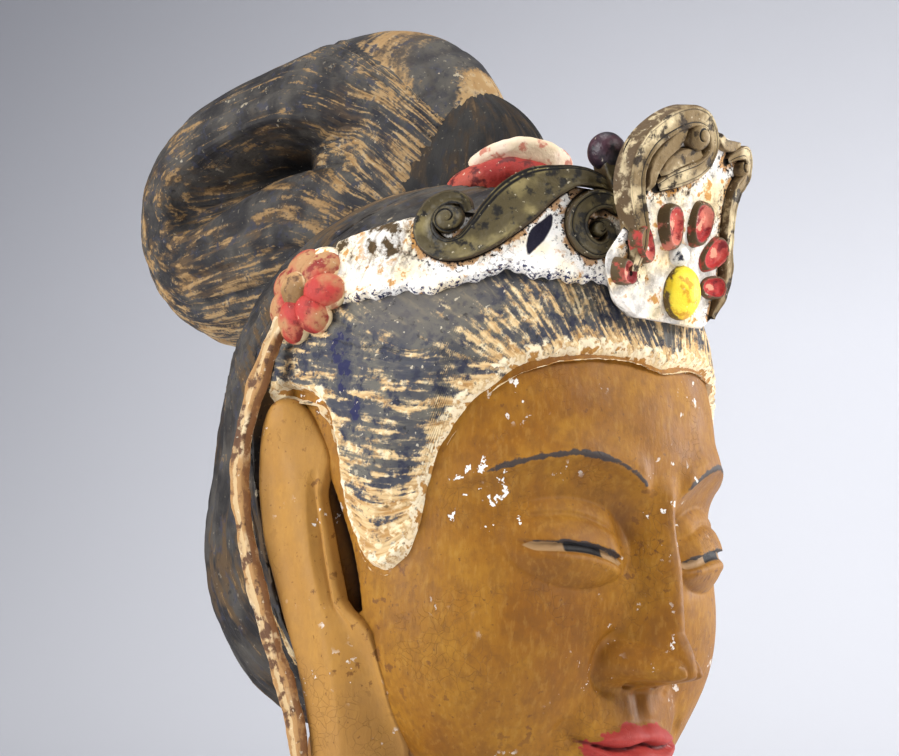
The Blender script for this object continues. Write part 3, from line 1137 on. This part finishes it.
def srgb(*values):
    c = np.array(values) / 255
    return tuple(float(v) for v in np.where(c <= 0.04045, c / 12.92, ((c + 0.055) / 1.055) ** 2.4))


class Graph:
    """Short calls that add a node and return its output socket. Shades are sRGB values, 0 to 255."""

    def __init__(self, tree):
        self.tree = tree

    def node(self, kind, inputs=(), out=0, **settings):
        node = self.tree.nodes.new(kind)
        for key, value in settings.items():
            setattr(node, key, value)
        for key, value in dict(inputs).items():
            socket = node.inputs[key]
            if isinstance(value, bpy.types.NodeSocket):
                self.tree.links.new(value, socket)
            elif isinstance(value, tuple) and socket.type == "RGBA":
                socket.default_value = (*srgb(*value), 1.0)
            else:
                socket.default_value = value
        return node.outputs[out]

    def math(self, operation, a, b=0.0):
        return self.node("ShaderNodeMath", {0: a, 1: b}, operation=operation)

    def remap(self, value, low, high, to_low=0.0, to_high=1.0):
        inputs = {"Value": value, "From Min": low, "From Max": high, "To Min": to_low, "To Max": to_high}
        return self.node("ShaderNodeMapRange", inputs, interpolation_type="SMOOTHSTEP")

    def noise(self, vector, scale, detail=3.0, rough=0.55, bend=0.0):
        inputs = {"Vector": vector, "Scale": scale, "Detail": detail, "Roughness": rough, "Distortion": bend}
        return self.node("ShaderNodeTexNoise", inputs)

    def mix(self, share, a, b, kind="MIX"):
        return self.node("ShaderNodeMix", {0: share, 6: a, 7: b}, 2, data_type="RGBA", blend_type=kind)

    def attribute(self, name):
        return self.node("ShaderNodeAttribute", out="Fac", attribute_name=name)

    def chain(self, operation, values):
        whole = values[0]
        for value in values[1:]:
            whole = self.math(operation, whole, value)
        return whole

    def times(self, *values):
        return self.chain("MULTIPLY", values)

    def add(self, *values):
        return self.chain("ADD", values)

    def either(self, *masks):
        return self.chain("MAXIMUM", masks)


def wear_group():
    """A shader node group with the wear that all the paint shares, as masks and noises."""
    tree = bpy.data.node_groups.get("Wear")
    if tree:
        return tree
    tree = bpy.data.node_groups.new("Wear", "ShaderNodeTree")
    for name in ("Broad", "Middle", "Fine", "Grain", "Crack", "Speck", "Chip"):
        tree.interface.new_socket(name, in_out="OUTPUT", socket_type="NodeSocketFloat")
    g = Graph(tree)
    place = g.node("ShaderNodeTexCoord", out="Object")
    broad, middle = g.noise(place, 17, 3), g.noise(place, 62, 4)
    fine, grain = g.noise(place, 230, 4, 0.6), g.noise(place, 900, 3, 0.6)
    stir = g.node("ShaderNodeTexNoise", {"Vector": place, "Scale": 90.0}, 1)
    bent = g.node("ShaderNodeMix", {0: 0.012, 4: place, 5: stir}, 1, data_type="VECTOR")
    inputs = {"Vector": bent, "Scale": 340.0}
    cell = g.node("ShaderNodeTexVoronoi", inputs, "Distance", feature="DISTANCE_TO_EDGE")
    crack = g.times(g.remap(cell, 0.035, 0.008), g.remap(g.noise(place, 45, 2), 0.5, 0.62))
    speck = g.remap(g.noise(place, 620, 2, 0.5), 0.68, 0.74)
    chip = g.remap(g.noise(place, 260, 4, 0.6), 0.63, 0.65)
    chip = g.times(chip, g.remap(g.noise(place, 40, 2), 0.54, 0.64))
    done = tree.nodes.new("NodeGroupOutput")
    for name, value in zip(("Broad", "Middle", "Fine", "Grain", "Crack", "Speck", "Chip"),
                           (broad, middle, fine, grain, crack, speck, chip)):
        tree.links.new(value, done.inputs[name])
    return tree


def start_paint(name):
    """A new material: its graph, its shader and the shared wear group's outputs by name."""
    material = bpy.data.materials.new(name)
    material.use_nodes = True
    shader = next(n for n in material.node_tree.nodes if n.type == "BSDF_PRINCIPLED")
    wear = material.node_tree.nodes.new("ShaderNodeGroup")
    wear.node_tree = wear_group()
    return material, Graph(material.node_tree), shader, wear.outputs


def finish_paint(g, shader, colour, height, rough, depth=0.0006, specular=0.35):
    bump_node = g.node("ShaderNodeBump", {"Height": height, "Distance": depth, "Strength": 0.8})
    for key, value in (("Base Color", colour), ("Normal", bump_node)):
        g.tree.links.new(value, shader.inputs[key])
    if isinstance(rough, bpy.types.NodeSocket):
        g.tree.links.new(rough, shader.inputs["Roughness"])
    else:
        shader.inputs["Roughness"].default_value = rough
    shader.inputs["Specular IOR Level"].default_value = specular


def skin_paint():
    material, g, shader, wear = start_paint("Aged Skin Paint")
    place = g.node("ShaderNodeTexCoord", out="Object")
    upright = g.node("ShaderNodeVectorMath", {0: place, 1: (1.0, 1.0, 0.35)}, operation="MULTIPLY")
    brushed = g.noise(upright, 640, 3, 0.6)
    colour = g.mix(g.remap(wear["Broad"], 0.35, 0.65), (132, 83, 20), (151, 102, 27))
    colour = g.mix(g.remap(wear["Middle"], 0.45, 0.78, 0, 0.7), colour, (165, 117, 36))
    colour = g.mix(g.remap(wear["Middle"], 0.48, 0.3, 0, 0.6), colour, (120, 75, 26))
    colour = g.mix(g.remap(wear["Fine"], 0.56, 0.36, 0, 0.35), colour, (108, 68, 26))
    colour = g.mix(g.remap(brushed, 0.5, 0.3, 0, 0.22), colour, (104, 66, 28))
    colour = g.mix(g.remap(brushed, 0.5, 0.7, 0, 0.2), colour, (184, 141, 68))
    colour = g.mix(g.times(g.attribute("pale"), 0.5), colour, (190, 144, 78))
    stain = g.times(g.remap(wear["Fine"], 0.6, 0.66), g.remap(wear["Broad"], 0.48, 0.6))
    colour = g.mix(g.times(stain, 0.75), colour, (104, 64, 30))
    colour = g.mix(g.times(wear["Speck"], 0.6), colour, (96, 60, 30))
    colour = g.mix(g.times(wear["Crack"], 0.24), colour, (92, 60, 30))
    colour = g.mix(g.remap(g.attribute("hollow"), 0.8, 3.5, 0, 0.55), colour, (84, 50, 22))
    colour = g.mix(g.remap(g.attribute("hollow"), 3.5, 6.5, 0, 0.9), colour, (34, 18, 10))
    lips = g.add(g.attribute("lips"), g.remap(wear["Fine"], 0.35, 0.65, -0.7, 0.7))
    red = g.mix(wear["Fine"], (136, 34, 34), (172, 62, 52))
    colour = g.mix(g.remap(lips, 0.1, 0.6), colour, red)
    seam = g.times(g.remap(g.attribute("parting"), 0.75, 0.2), g.remap(g.attribute("lips"), -3.0, 0.4))
    colour = g.mix(g.times(seam, 0.85), colour, (84, 22, 24))
    eye = g.remap(g.attribute("eye"), -0.1, 0.3)
    colour = g.mix(eye, colour, (158, 124, 84))
    colour = g.mix(g.times(eye, g.remap(g.attribute("iris"), 6.4, 5.6)), colour, (30, 26, 26))
    line = g.remap(g.add(g.attribute("lid"), g.remap(wear["Fine"], 0.3, 0.7, -0.3, 0.5)), 0.95, 0.5)
    arch = g.remap(g.add(g.attribute("brow"), g.remap(wear["Fine"], 0.3, 0.7, -0.35, 0.55)), 1.2, 0.7)
    colour = g.mix(g.times(g.either(line, arch), 0.9), colour, (46, 48, 52))
    loss = g.add(wear["Fine"], g.remap(g.attribute("flake"), 0.0, 1.0, -0.3, 0.02))
    chip = g.either(g.times(wear["Chip"], 0.9), g.remap(loss, 0.62, 0.635))
    colour = g.mix(chip, colour, (244, 240, 232))
    height = g.add(g.times(brushed, 0.4), g.times(wear["Grain"], 0.25))
    height = g.math("SUBTRACT", height, g.add(g.times(wear["Crack"], 0.3), g.times(chip, 0.5)))
    rough = g.remap(wear["Middle"], 0.3, 0.7, 0.48, 0.66)
    finish_paint(g, shader, colour, height, rough, 0.0004, 0.22)
    return material


def hair_paint():
    material, g, shader, wear = start_paint("Worn Blue Hair Paint")
    strand = g.node("ShaderNodeUVMap", uv_map="strand")
    split = g.node("ShaderNodeSeparateXYZ", {0: strand}, 0)
    along = g.node("ShaderNodeSeparateXYZ", {0: strand}, 1)

    def streaks(across, down, seed):
        place = g.node("ShaderNodeCombineXYZ", {0: g.times(split, across),
                                                1: g.times(along, down), 2: seed})
        return g.noise(place, 1.0, 3, 0.6)

    groove, dark, slate = (g.attribute(key) for key in ("groove", "dark", "slate"))
    wide, thin = streaks(2.0, 0.5, 2.0), streaks(7.0, 1.1, 5.0)
    blue = g.mix(g.remap(wear["Middle"], 0.35, 0.65), (69, 70, 76), (105, 101, 91))
    blue = g.mix(g.remap(thin, 0.5, 0.72, 0, 0.8), blue, (140, 129, 108))
    blue = g.mix(g.remap(wear["Fine"], 0.48, 0.34), blue, (52, 54, 68))
    blue = g.mix(g.times(slate, 0.7), blue, g.mix(thin, (80, 80, 86), (120, 110, 92)))
    soot = g.mix(g.remap(wear["Middle"], 0.4, 0.62), (34, 31, 30), (70, 66, 61))
    soot = g.mix(g.times(g.remap(wide, 0.46, 0.6), g.remap(wear["Broad"], 0.42, 0.56)), soot, (82, 63, 40))
    blue = g.mix(dark, blue, soot)
    navy = g.add(g.attribute("navy"), g.remap(wear["Fine"], 0.3, 0.7, -0.45, 0.45))
    blue = g.mix(g.remap(navy, 0.2, 0.5, 0, 0.55), blue, (54, 56, 72))
    blue = g.mix(g.remap(navy, 0.7, 0.9), blue, (38, 40, 74))
    ochre = g.mix(g.remap(thin, 0.35, 0.65), (178, 134, 78), (220, 190, 140))
    ochre = g.mix(g.remap(wear["Fine"], 0.53, 0.64), ochre, (238, 216, 172))
    ochre = g.mix(g.times(dark, 0.95), ochre, (130, 99, 60))
    patchy = g.times(g.math("SUBTRACT", 1.0, g.times(dark, 0.85)), wear["Fine"])
    parts = ((wide, 0.4), (thin, 0.42), (wear["Middle"], 0.3), (patchy, 0.5), (wear["Grain"], 0.25),
             (groove, -0.22), (g.times(dark, g.add(wide, thin)), 0.25), (dark, -0.09),
             (g.remap(navy, 0.2, 0.8), -0.3))
    worn = g.attribute("bare")
    for part, share in parts:
        worn = g.add(worn, g.times(part, share))
    colour = g.mix(g.remap(worn, 0.82, 0.96), blue, ochre)
    colour = g.mix(g.remap(groove, 0.7, 1.0, 0, 0.5), colour, (50, 44, 42))
    colour = g.mix(g.remap(g.attribute("deep"), 0.5, 0.95), colour, (14, 13, 13))
    border = g.add(g.attribute("edge"), g.remap(wear["Fine"], 0.3, 0.7, -2.6, 2.6))
    colour = g.mix(g.remap(border, 2.6, 1.2), colour, (236, 220, 186))
    colour = g.mix(g.remap(border, 0.0, -0.8), colour, (176, 128, 66))
    speck = g.times(wear["Speck"], g.math("SUBTRACT", 0.6, g.times(dark, 0.5)))
    colour = g.mix(speck, colour, (226, 212, 184))
    dirt = g.remap(g.noise(g.node("ShaderNodeTexCoord", out="Object"), 480, 3, 0.6), 0.62, 0.7)
    colour = g.mix(g.times(dirt, 0.6), colour, (30, 28, 30))
    colour = g.mix(g.times(wear["Chip"], 0.4), colour, (222, 206, 174))
    height = g.add(g.times(thin, 0.8), g.times(wear["Fine"], 0.7))
    finish_paint(g, shader, colour, height, 0.72, 0.0006, 0.25)
    return material


def ground_paint():
    material, g, shader, wear = start_paint("White Stucco Ground")
    ragged = g.remap(wear["Fine"], 0.3, 0.7, -1.6, 1.6)
    colour = g.mix(g.remap(wear["Middle"], 0.45, 0.7), (254, 250, 242), (244, 222, 178))
    spots = g.times(g.remap(wear["Fine"], 0.56, 0.64), g.remap(wear["Middle"], 0.42, 0.56))
    colour = g.mix(spots, colour, (200, 146, 78))
    old = g.times(g.attribute("old"), g.remap(wear["Fine"], 0.36, 0.58, 1.25, 0.2))
    aged = g.mix(g.remap(wear["Middle"], 0.42, 0.6), (112, 94, 62), (196, 168, 120))
    colour = g.mix(old, colour, g.mix(g.remap(wear["Fine"], 0.55, 0.42), aged, (80, 64, 42)))
    near = g.add(g.attribute("scroll"), ragged)
    colour = g.mix(g.remap(near, 1.9, 0.7, 0, 0.85), colour, (188, 134, 66))
    colour = g.mix(g.times(g.remap(wear["Grain"], 0.54, 0.6), g.remap(near, 5.0, 1.4)), colour, (30, 26, 28))
    colour = g.mix(g.remap(g.attribute("scroll"), 0.9, 0.3), colour, (28, 22, 18))
    hem = g.add(g.attribute("low"), ragged)
    colour = g.mix(g.times(g.remap(hem, 2.6, 0.6), g.remap(wear["Grain"], 0.5, 0.58)), colour, (48, 52, 84))
    colour = g.mix(g.remap(g.attribute("mark"), 0.5, -0.1), colour, (30, 28, 44))
    colour = g.mix(g.remap(g.attribute("crack"), 1.0, 0.3, 0, 0.55), colour, (104, 80, 54))
    colour = g.mix(g.times(wear["Crack"], 0.5), colour, (120, 86, 50))
    colour = g.mix(g.times(wear["Speck"], 0.5), colour, (40, 36, 40))
    finish_paint(g, shader, colour, g.add(wear["Fine"], wear["Grain"]), 0.8, 0.0007, 0.2)
    return material


def worn_paint(name, main, light, dark, rim, line, core, chips, rough):
    """Old paint in three shades, with a rim, incised lines, a middle and chips down to the stucco."""
    material, g, shader, wear = start_paint(name)
    ragged = g.remap(wear["Fine"], 0.3, 0.7, -0.3, 0.3)
    colour = g.mix(g.remap(wear["Middle"], 0.45, 0.62), main, light)
    colour = g.mix(g.remap(wear["Fine"], 0.5, 0.38), colour, dark)
    if core:
        colour = g.mix(g.remap(g.add(g.attribute("middle"), ragged), 0.55, 0.75), colour, core)
    if rim:
        kept = g.remap(wear["Fine"], 0.64, 0.5, 0.2, 1.0)
        colour = g.mix(g.times(g.remap(g.add(g.attribute("rim"), ragged), 0.45, 0.75), kept), colour, rim)
    if line:
        colour = g.mix(g.remap(g.attribute("line"), 0.2, 0.7), colour, line)
    colour = g.mix(g.times(wear["Chip"], chips), colour, (236, 222, 194))
    colour = g.mix(g.times(wear["Speck"], 0.5), colour, (226, 214, 186))
    height = g.add(wear["Fine"], g.times(wear["Grain"], 0.5))
    finish_paint(g, shader, colour, height, rough, 0.0006)
    return material


# Name, main, light and dark shades, then the rim, incised lines and middle, or None, then chips and roughness
PAINTS = {
    "scroll": ("Dark Gilt Scroll Paint", (78, 68, 42), (140, 126, 82), (30, 27, 22), (64, 50, 28),
               (14, 12, 12), None, 0.5, 0.5),
    "plaque": ("Worn Plaque Paint", (128, 106, 70), (218, 198, 156), (56, 44, 30), (88, 68, 42),
               (24, 19, 15), None, 1.0, 0.65),
    "dark": ("Dark Bead Paint", (38, 30, 38), (74, 46, 54), (16, 14, 20), None, None, None, 0.1, 0.35),
    "petal": ("Red Petal Paint", (190, 58, 56), (212, 124, 104), (128, 34, 36), (84, 66, 38), None,
              (226, 156, 128), 0.6, 0.6),
    "rosette": ("Red Rosette Paint", (178, 56, 48), (176, 132, 88), (134, 44, 36), (228, 204, 160), None,
                None, 0.9, 0.65),
    "hub": ("Ochre Hub Paint", (138, 104, 62), (184, 140, 92), (96, 66, 42), (222, 198, 154), None, None,
            0.8, 0.65),
    "boss": ("Yellow Boss Paint", (240, 200, 20), (250, 226, 60), (214, 160, 14), (92, 72, 34), None, None,
             0.1, 0.5),
    "bud": ("Blue Bud Paint", (60, 72, 94), (214, 210, 200), (24, 26, 40), None, None, (236, 230, 220), 0.6,
            0.6),
    "ribbon": ("Ribbon Paint", (168, 126, 76), (218, 196, 156), (96, 64, 40), (128, 88, 54), None,
               (198, 168, 122), 0.8, 0.7),
    "tie": ("Red Tie Paint", (150, 40, 32), (176, 76, 58), (92, 24, 22), None, None, None, 0.4, 0.65),
    "fold": ("Cream Fold Paint", (222, 200, 168), (230, 208, 186), (190, 120, 98), None, None, None, 0.4,
             0.7),
    "robe": ("Worn Robe Paint", (106, 106, 84), (124, 120, 94), (88, 86, 68), (146, 64, 48), (30, 24, 20),
             None, 0.5, 0.75),
    "bead": ("Bead Paint", (176, 132, 60), (214, 180, 100), (104, 70, 34), None, None, None, 0.4, 0.45),
}


def paint(key):
    return bpy.data.materials.get(PAINTS[key][0]) or worn_paint(*PAINTS[key])


# The pieces as operators

def show(name, parts, material):
    points, faces, attributes, uv = join_parts(parts)
    piece = mesh_object(name, points, faces, attributes, uv)
    piece.data.materials.append(material)
    return settle(piece)


BEAD_RADIUS = 0.0049  # metres, the necklace's beads


class BustSettings(bpy.types.PropertyGroup):
    petal_variation: bpy.props.FloatProperty(
        name="Petal Variation", description="How much the rosette's petals differ in size",
        default=0.08, min=0, max=0.3, subtype="FACTOR")
    bead_size: bpy.props.FloatProperty(
        name="Bead Size", description="Radius of a necklace bead",
        default=BEAD_RADIUS, min=0.003, max=0.007, unit="LENGTH")
    backdrop_distance: bpy.props.FloatProperty(
        name="Backdrop Distance", description="Distance of the backdrop behind the bust",
        default=1.6, min=1, max=4, unit="LENGTH")


class SkinBuilder(bpy.types.Operator):
    """Builds the face, the ears and the bare neck"""
    bl_idname = "bust.build_skin"
    bl_label = "Build Skin"

    def execute(self, context):
        material = skin_paint()
        show("face", [face_part()], material)
        show("ears", both_sides(ear_part()), material)
        show("neck", [body_part()], material)
        return {"FINISHED"}


class HairBuilder(bpy.types.Operator):
    """Builds the hair and the topknot"""
    bl_idname = "bust.build_hair"
    bl_label = "Build Hair"

    def execute(self, context):
        material = hair_paint()
        show("front_hair", [front_hair_part()], material)
        show("back_hair", [back_hair_part()], material)
        show("topknot", [knot_part()], material)
        show("topknot_root", [root_part()], material)
        return {"FINISHED"}


class DiademBuilder(bpy.types.Operator):
    """Builds the diadem: its ground, scrolls, front plaque and flower"""
    bl_idname = "bust.build_diadem"
    bl_label = "Build Diadem"

    def execute(self, context):
        show("diadem_ground", [band_part(), plaque_part()], ground_paint())
        show("diadem_scrolls", scroll_parts(), paint("scroll"))
        show("plaque_scrolls", plaque_scroll_parts(), paint("plaque"))
        bead_at, bead_out = on_band(27.4, 115.4, 1.0), (0.36, -0.93, 0)
        bead = dome_part(bead_at, (5.9, 5.9, 5.9), (0, 0, 1), bead_out, 76, 0.5, 3.0)
        show("diadem_beads", both_sides(bead), paint("dark"))
        settle(repeat("flower_petals", petal_shape("petal"), *flower_places(), paint("petal"), 0.05, 3))
        ahead, up = (0, -1, 0.05), (0, 0.05, 1)
        boss = dome_part(on_plaque(0.6, 76.4, 0.5), (7.4, 8.4, 5), up, ahead, 73)
        bud = dome_part(on_plaque(-2.9, 87.6, 0), (4.2, 3.6, 3), up, ahead, 74)
        show("flower_boss", [boss], paint("boss"))
        show("flower_bud", [bud], paint("bud"))
        return {"FINISHED"}


class TrimBuilder(bpy.types.Operator):
    """Builds the rosettes over the ears, the ribbons and the tie of the topknot"""
    bl_idname = "bust.build_trim"
    bl_label = "Build Rosettes and Ribbons"

    def execute(self, context):
        red = paint("rosette")
        variation = context.scene.bust_settings.petal_variation
        places = rosette_places(7, 8.8, (6.0, 4.6, 7.2), 0.2, 0.3)
        settle(repeat("rosettes", lobe_shape("lobe"), *places, red, variation, 5))
        base = dome_part(ROSETTE_AT - [9, 0, 0], (15.5, 15.5, 10), (0, 0, 1), (1, 0, 0.25), 75, 0.8)
        ground = {"scroll": 5.0, "crack": 9.0, "mark": 9.0, "low": 9.0, "old": 0.2}
        plain = [(part[0], part[1], ground, None) for part in both_sides(base)]
        show("rosette_grounds", plain, ground_paint())
        show("ribbons", both_sides(ribbon_part()), paint("ribbon"))
        show("tie", [tie_part(15.5, 6.5, np.radians(-6), (0, 6, 105.5), 1.1, 91)], paint("tie"))
        show("tie_fold", [tie_part(13, 5.0, np.radians(-14), (0, 4, 114), 0.9, 92)], paint("fold"))
        hub = dome_part(ROSETTE_AT + [3.6, 0.5, 0.6], (5.6, 5.8, 4.2), (0, 0, 1), (0.97, 0, 0.25), 77, 0.6)
        show("rosette_hubs", both_sides(hub), paint("hub"))
        return {"FINISHED"}


class RobeBuilder(bpy.types.Operator):
    """Builds the robe and the necklace"""
    bl_idname = "bust.build_robe"
    bl_label = "Build Robe"

    def execute(self, context):
        show("robe", [robe_part(), floor_part()], paint("robe"))
        places, turns, sizes = necklace_places()
        share = context.scene.bust_settings.bead_size / BEAD_RADIUS
        sizes = [tuple(v * share for v in size) for size in sizes]
        settle(repeat("necklace", lobe_shape("bead"), places, turns, sizes, paint("bead"), 0.04, 7))
        return {"FINISHED"}


# The stage. The camera: its turn, height and roll in degrees, its distance and aim in metres, then its lens

CAMERA_ANGLES, CAMERA_DISTANCE, CAMERA_AIM = (-45.0, -6.0, 2.0), 0.65, (-0.004, 0.006, 0.254)
SENSOR_WIDTH, FOCAL_PIXELS, PICTURE_PIXELS = 36.0, 1950, 899
# The backdrop in metres: how far it runs ahead, the radius of its bend, its height and half width
AHEAD, BEND, WALL_HEIGHT, HALF_WIDTH = 3.0, 0.5, 3.5, 4
GREY_TO_PALE = (0.374, -0.374, -0.517)
# Place and aim as right, up and back of the camera's aim in metres, then size, power and colour
LIGHTS = {
    "key": ((0.95, 0.7, 0.5), (0, 0, 0), 0.6, 15, (1.0, 0.98, 0.95)),
    "fill": ((-1.0, 0.4, 0.45), (0, 0, 0), 0.8, 17, (0.97, 0.98, 1.0)),
    "rim": ((0.95, 0.1, -0.35), (0, 0, 0), 0.5, 7, (1.0, 1.0, 1.0)),
    "top": ((-0.1, 1.2, -0.1), (0, 0, 0), 0.8, 8, (1.0, 1.0, 1.0)),
    "wall": ((0.9, -0.5, -0.8), (0.55, -0.4, -1.6), 0.9, 8, (0.97, 0.98, 1.0)),
}


def backdrop_paint():
    """Pale grey paper that darkens towards the upper left."""
    material = bpy.data.materials.new("Backdrop")
    material.use_nodes = True
    g = Graph(material.node_tree)
    shader = next(n for n in material.node_tree.nodes if n.type == "BSDF_PRINCIPLED")
    place = g.node("ShaderNodeTexCoord", out="Object")
    along = g.node("ShaderNodeVectorMath", {0: place, 1: GREY_TO_PALE}, 1, operation="DOT_PRODUCT")
    share = g.remap(along, -1.0, 0.2)
    g.tree.links.new(g.mix(share, (136, 137, 144), (238, 239, 244)), shader.inputs["Base Color"])
    shader.inputs["Roughness"].default_value = 0.95
    shader.inputs["Specular IOR Level"].default_value = 0.1
    return material


def camera_axes():
    """The right, up and back directions of the camera, which looks up a little at the figure's right side."""
    a, e, roll = np.radians(CAMERA_ANGLES)
    back = np.array([np.sin(a) * np.cos(e), -np.cos(a) * np.cos(e), np.sin(e)])
    right = np.array([np.cos(a), np.sin(a), 0])
    up = np.cross(back, right)
    return right * np.cos(roll) + up * np.sin(roll), up * np.cos(roll) - right * np.sin(roll), back


def soft_light(name, place, target, size, power, colour):
    data = bpy.data.lights.new(name, "AREA")
    data.shape, data.size, data.energy, data.color = "DISK", size, power, colour
    light = bpy.data.objects.new(name, data)
    light.location = place
    light.rotation_euler = (Vector(target) - Vector(place)).to_track_quat("-Z", "Y").to_euler()
    bpy.context.scene.collection.objects.link(light)


class StageBuilder(bpy.types.Operator):
    """Sets up the floor, the backdrop, the lights and the camera"""
    bl_idname = "bust.build_stage"
    bl_label = "Build Stage"

    def execute(self, context):
        right, up, back = camera_axes()
        level = np.array([back[0], back[1], 0])
        level /= np.linalg.norm(level)
        side = np.array([-level[1], level[0], 0])
        far = context.scene.bust_settings.backdrop_distance
        turn = np.linspace(0, np.pi / 2, 20)
        out = np.concatenate([[-AHEAD, 0], far - BEND + BEND * np.sin(turn), [far]])
        high = np.concatenate([[0, 0], BEND - BEND * np.cos(turn), [WALL_HEIGHT]])
        rows = [-level * o + side * w + [0, 0, h]
                for o, h in zip(out, high) for w in (-HALF_WIDTH, HALF_WIDTH)]
        faces = grid_faces(len(out), 2)
        sweep = mesh_object("backdrop", np.array(rows) * 1000, faces[:, ::-1])
        sweep.data.materials.append(backdrop_paint())

        target = np.array(CAMERA_AIM)
        data = bpy.data.cameras.new("camera")
        data.sensor_width, data.lens = SENSOR_WIDTH, FOCAL_PIXELS / PICTURE_PIXELS * SENSOR_WIDTH
        data.clip_start, data.clip_end = 0.05, 20
        camera = bpy.data.objects.new("camera", data)
        facing = Matrix((right, up, back)).transposed().to_4x4()
        camera.matrix_world = Matrix.Translation(target + CAMERA_DISTANCE * back) @ facing
        context.scene.collection.objects.link(camera)
        context.scene.camera = camera

        def around(r, u, b):
            return target + right * r + up * u + back * b

        for name, (place, aim, size, power, colour) in LIGHTS.items():
            soft_light(name, around(*place), around(*aim), size, power, colour)
        world = bpy.data.worlds.new("studio")
        world.use_nodes = True
        world.node_tree.nodes["Background"].inputs[0].default_value = (0.82, 0.85, 0.95, 1)
        world.node_tree.nodes["Background"].inputs[1].default_value = 0.2
        context.scene.world = world
        context.scene.view_settings.view_transform = "Standard"
        return {"FINISHED"}


class BustPanel(bpy.types.Panel):
    """Shows the settings and the buttons in the sidebar"""
    bl_idname = "VIEW3D_PT_bust"
    bl_label = "Bodhisattva Bust"
    bl_space_type = "VIEW_3D"
    bl_region_type = "UI"
    bl_category = "Bust"

    def draw(self, context):
        for name in BustSettings.__annotations__:
            self.layout.prop(context.scene.bust_settings, name)
        for operator in BUILDERS:
            self.layout.operator(operator.bl_idname)


BUILDERS = (SkinBuilder, HairBuilder, DiademBuilder, TrimBuilder, RobeBuilder, StageBuilder)
CLASSES = (BustSettings, *BUILDERS, BustPanel)


def register():
    for cls in CLASSES:
        bpy.utils.register_class(cls)
    bpy.types.Scene.bust_settings = bpy.props.PointerProperty(type=BustSettings)


def unregister():
    del bpy.types.Scene.bust_settings
    for cls in reversed(CLASSES):
        bpy.utils.unregister_class(cls)


def main():
    register()
    bpy.ops.bust.build_skin()
    bpy.ops.bust.build_hair()
    bpy.ops.bust.build_diadem()
    bpy.ops.bust.build_trim()
    bpy.ops.bust.build_robe()
    bpy.ops.bust.build_stage()
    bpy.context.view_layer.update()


if __name__ == "__main__":
    main()
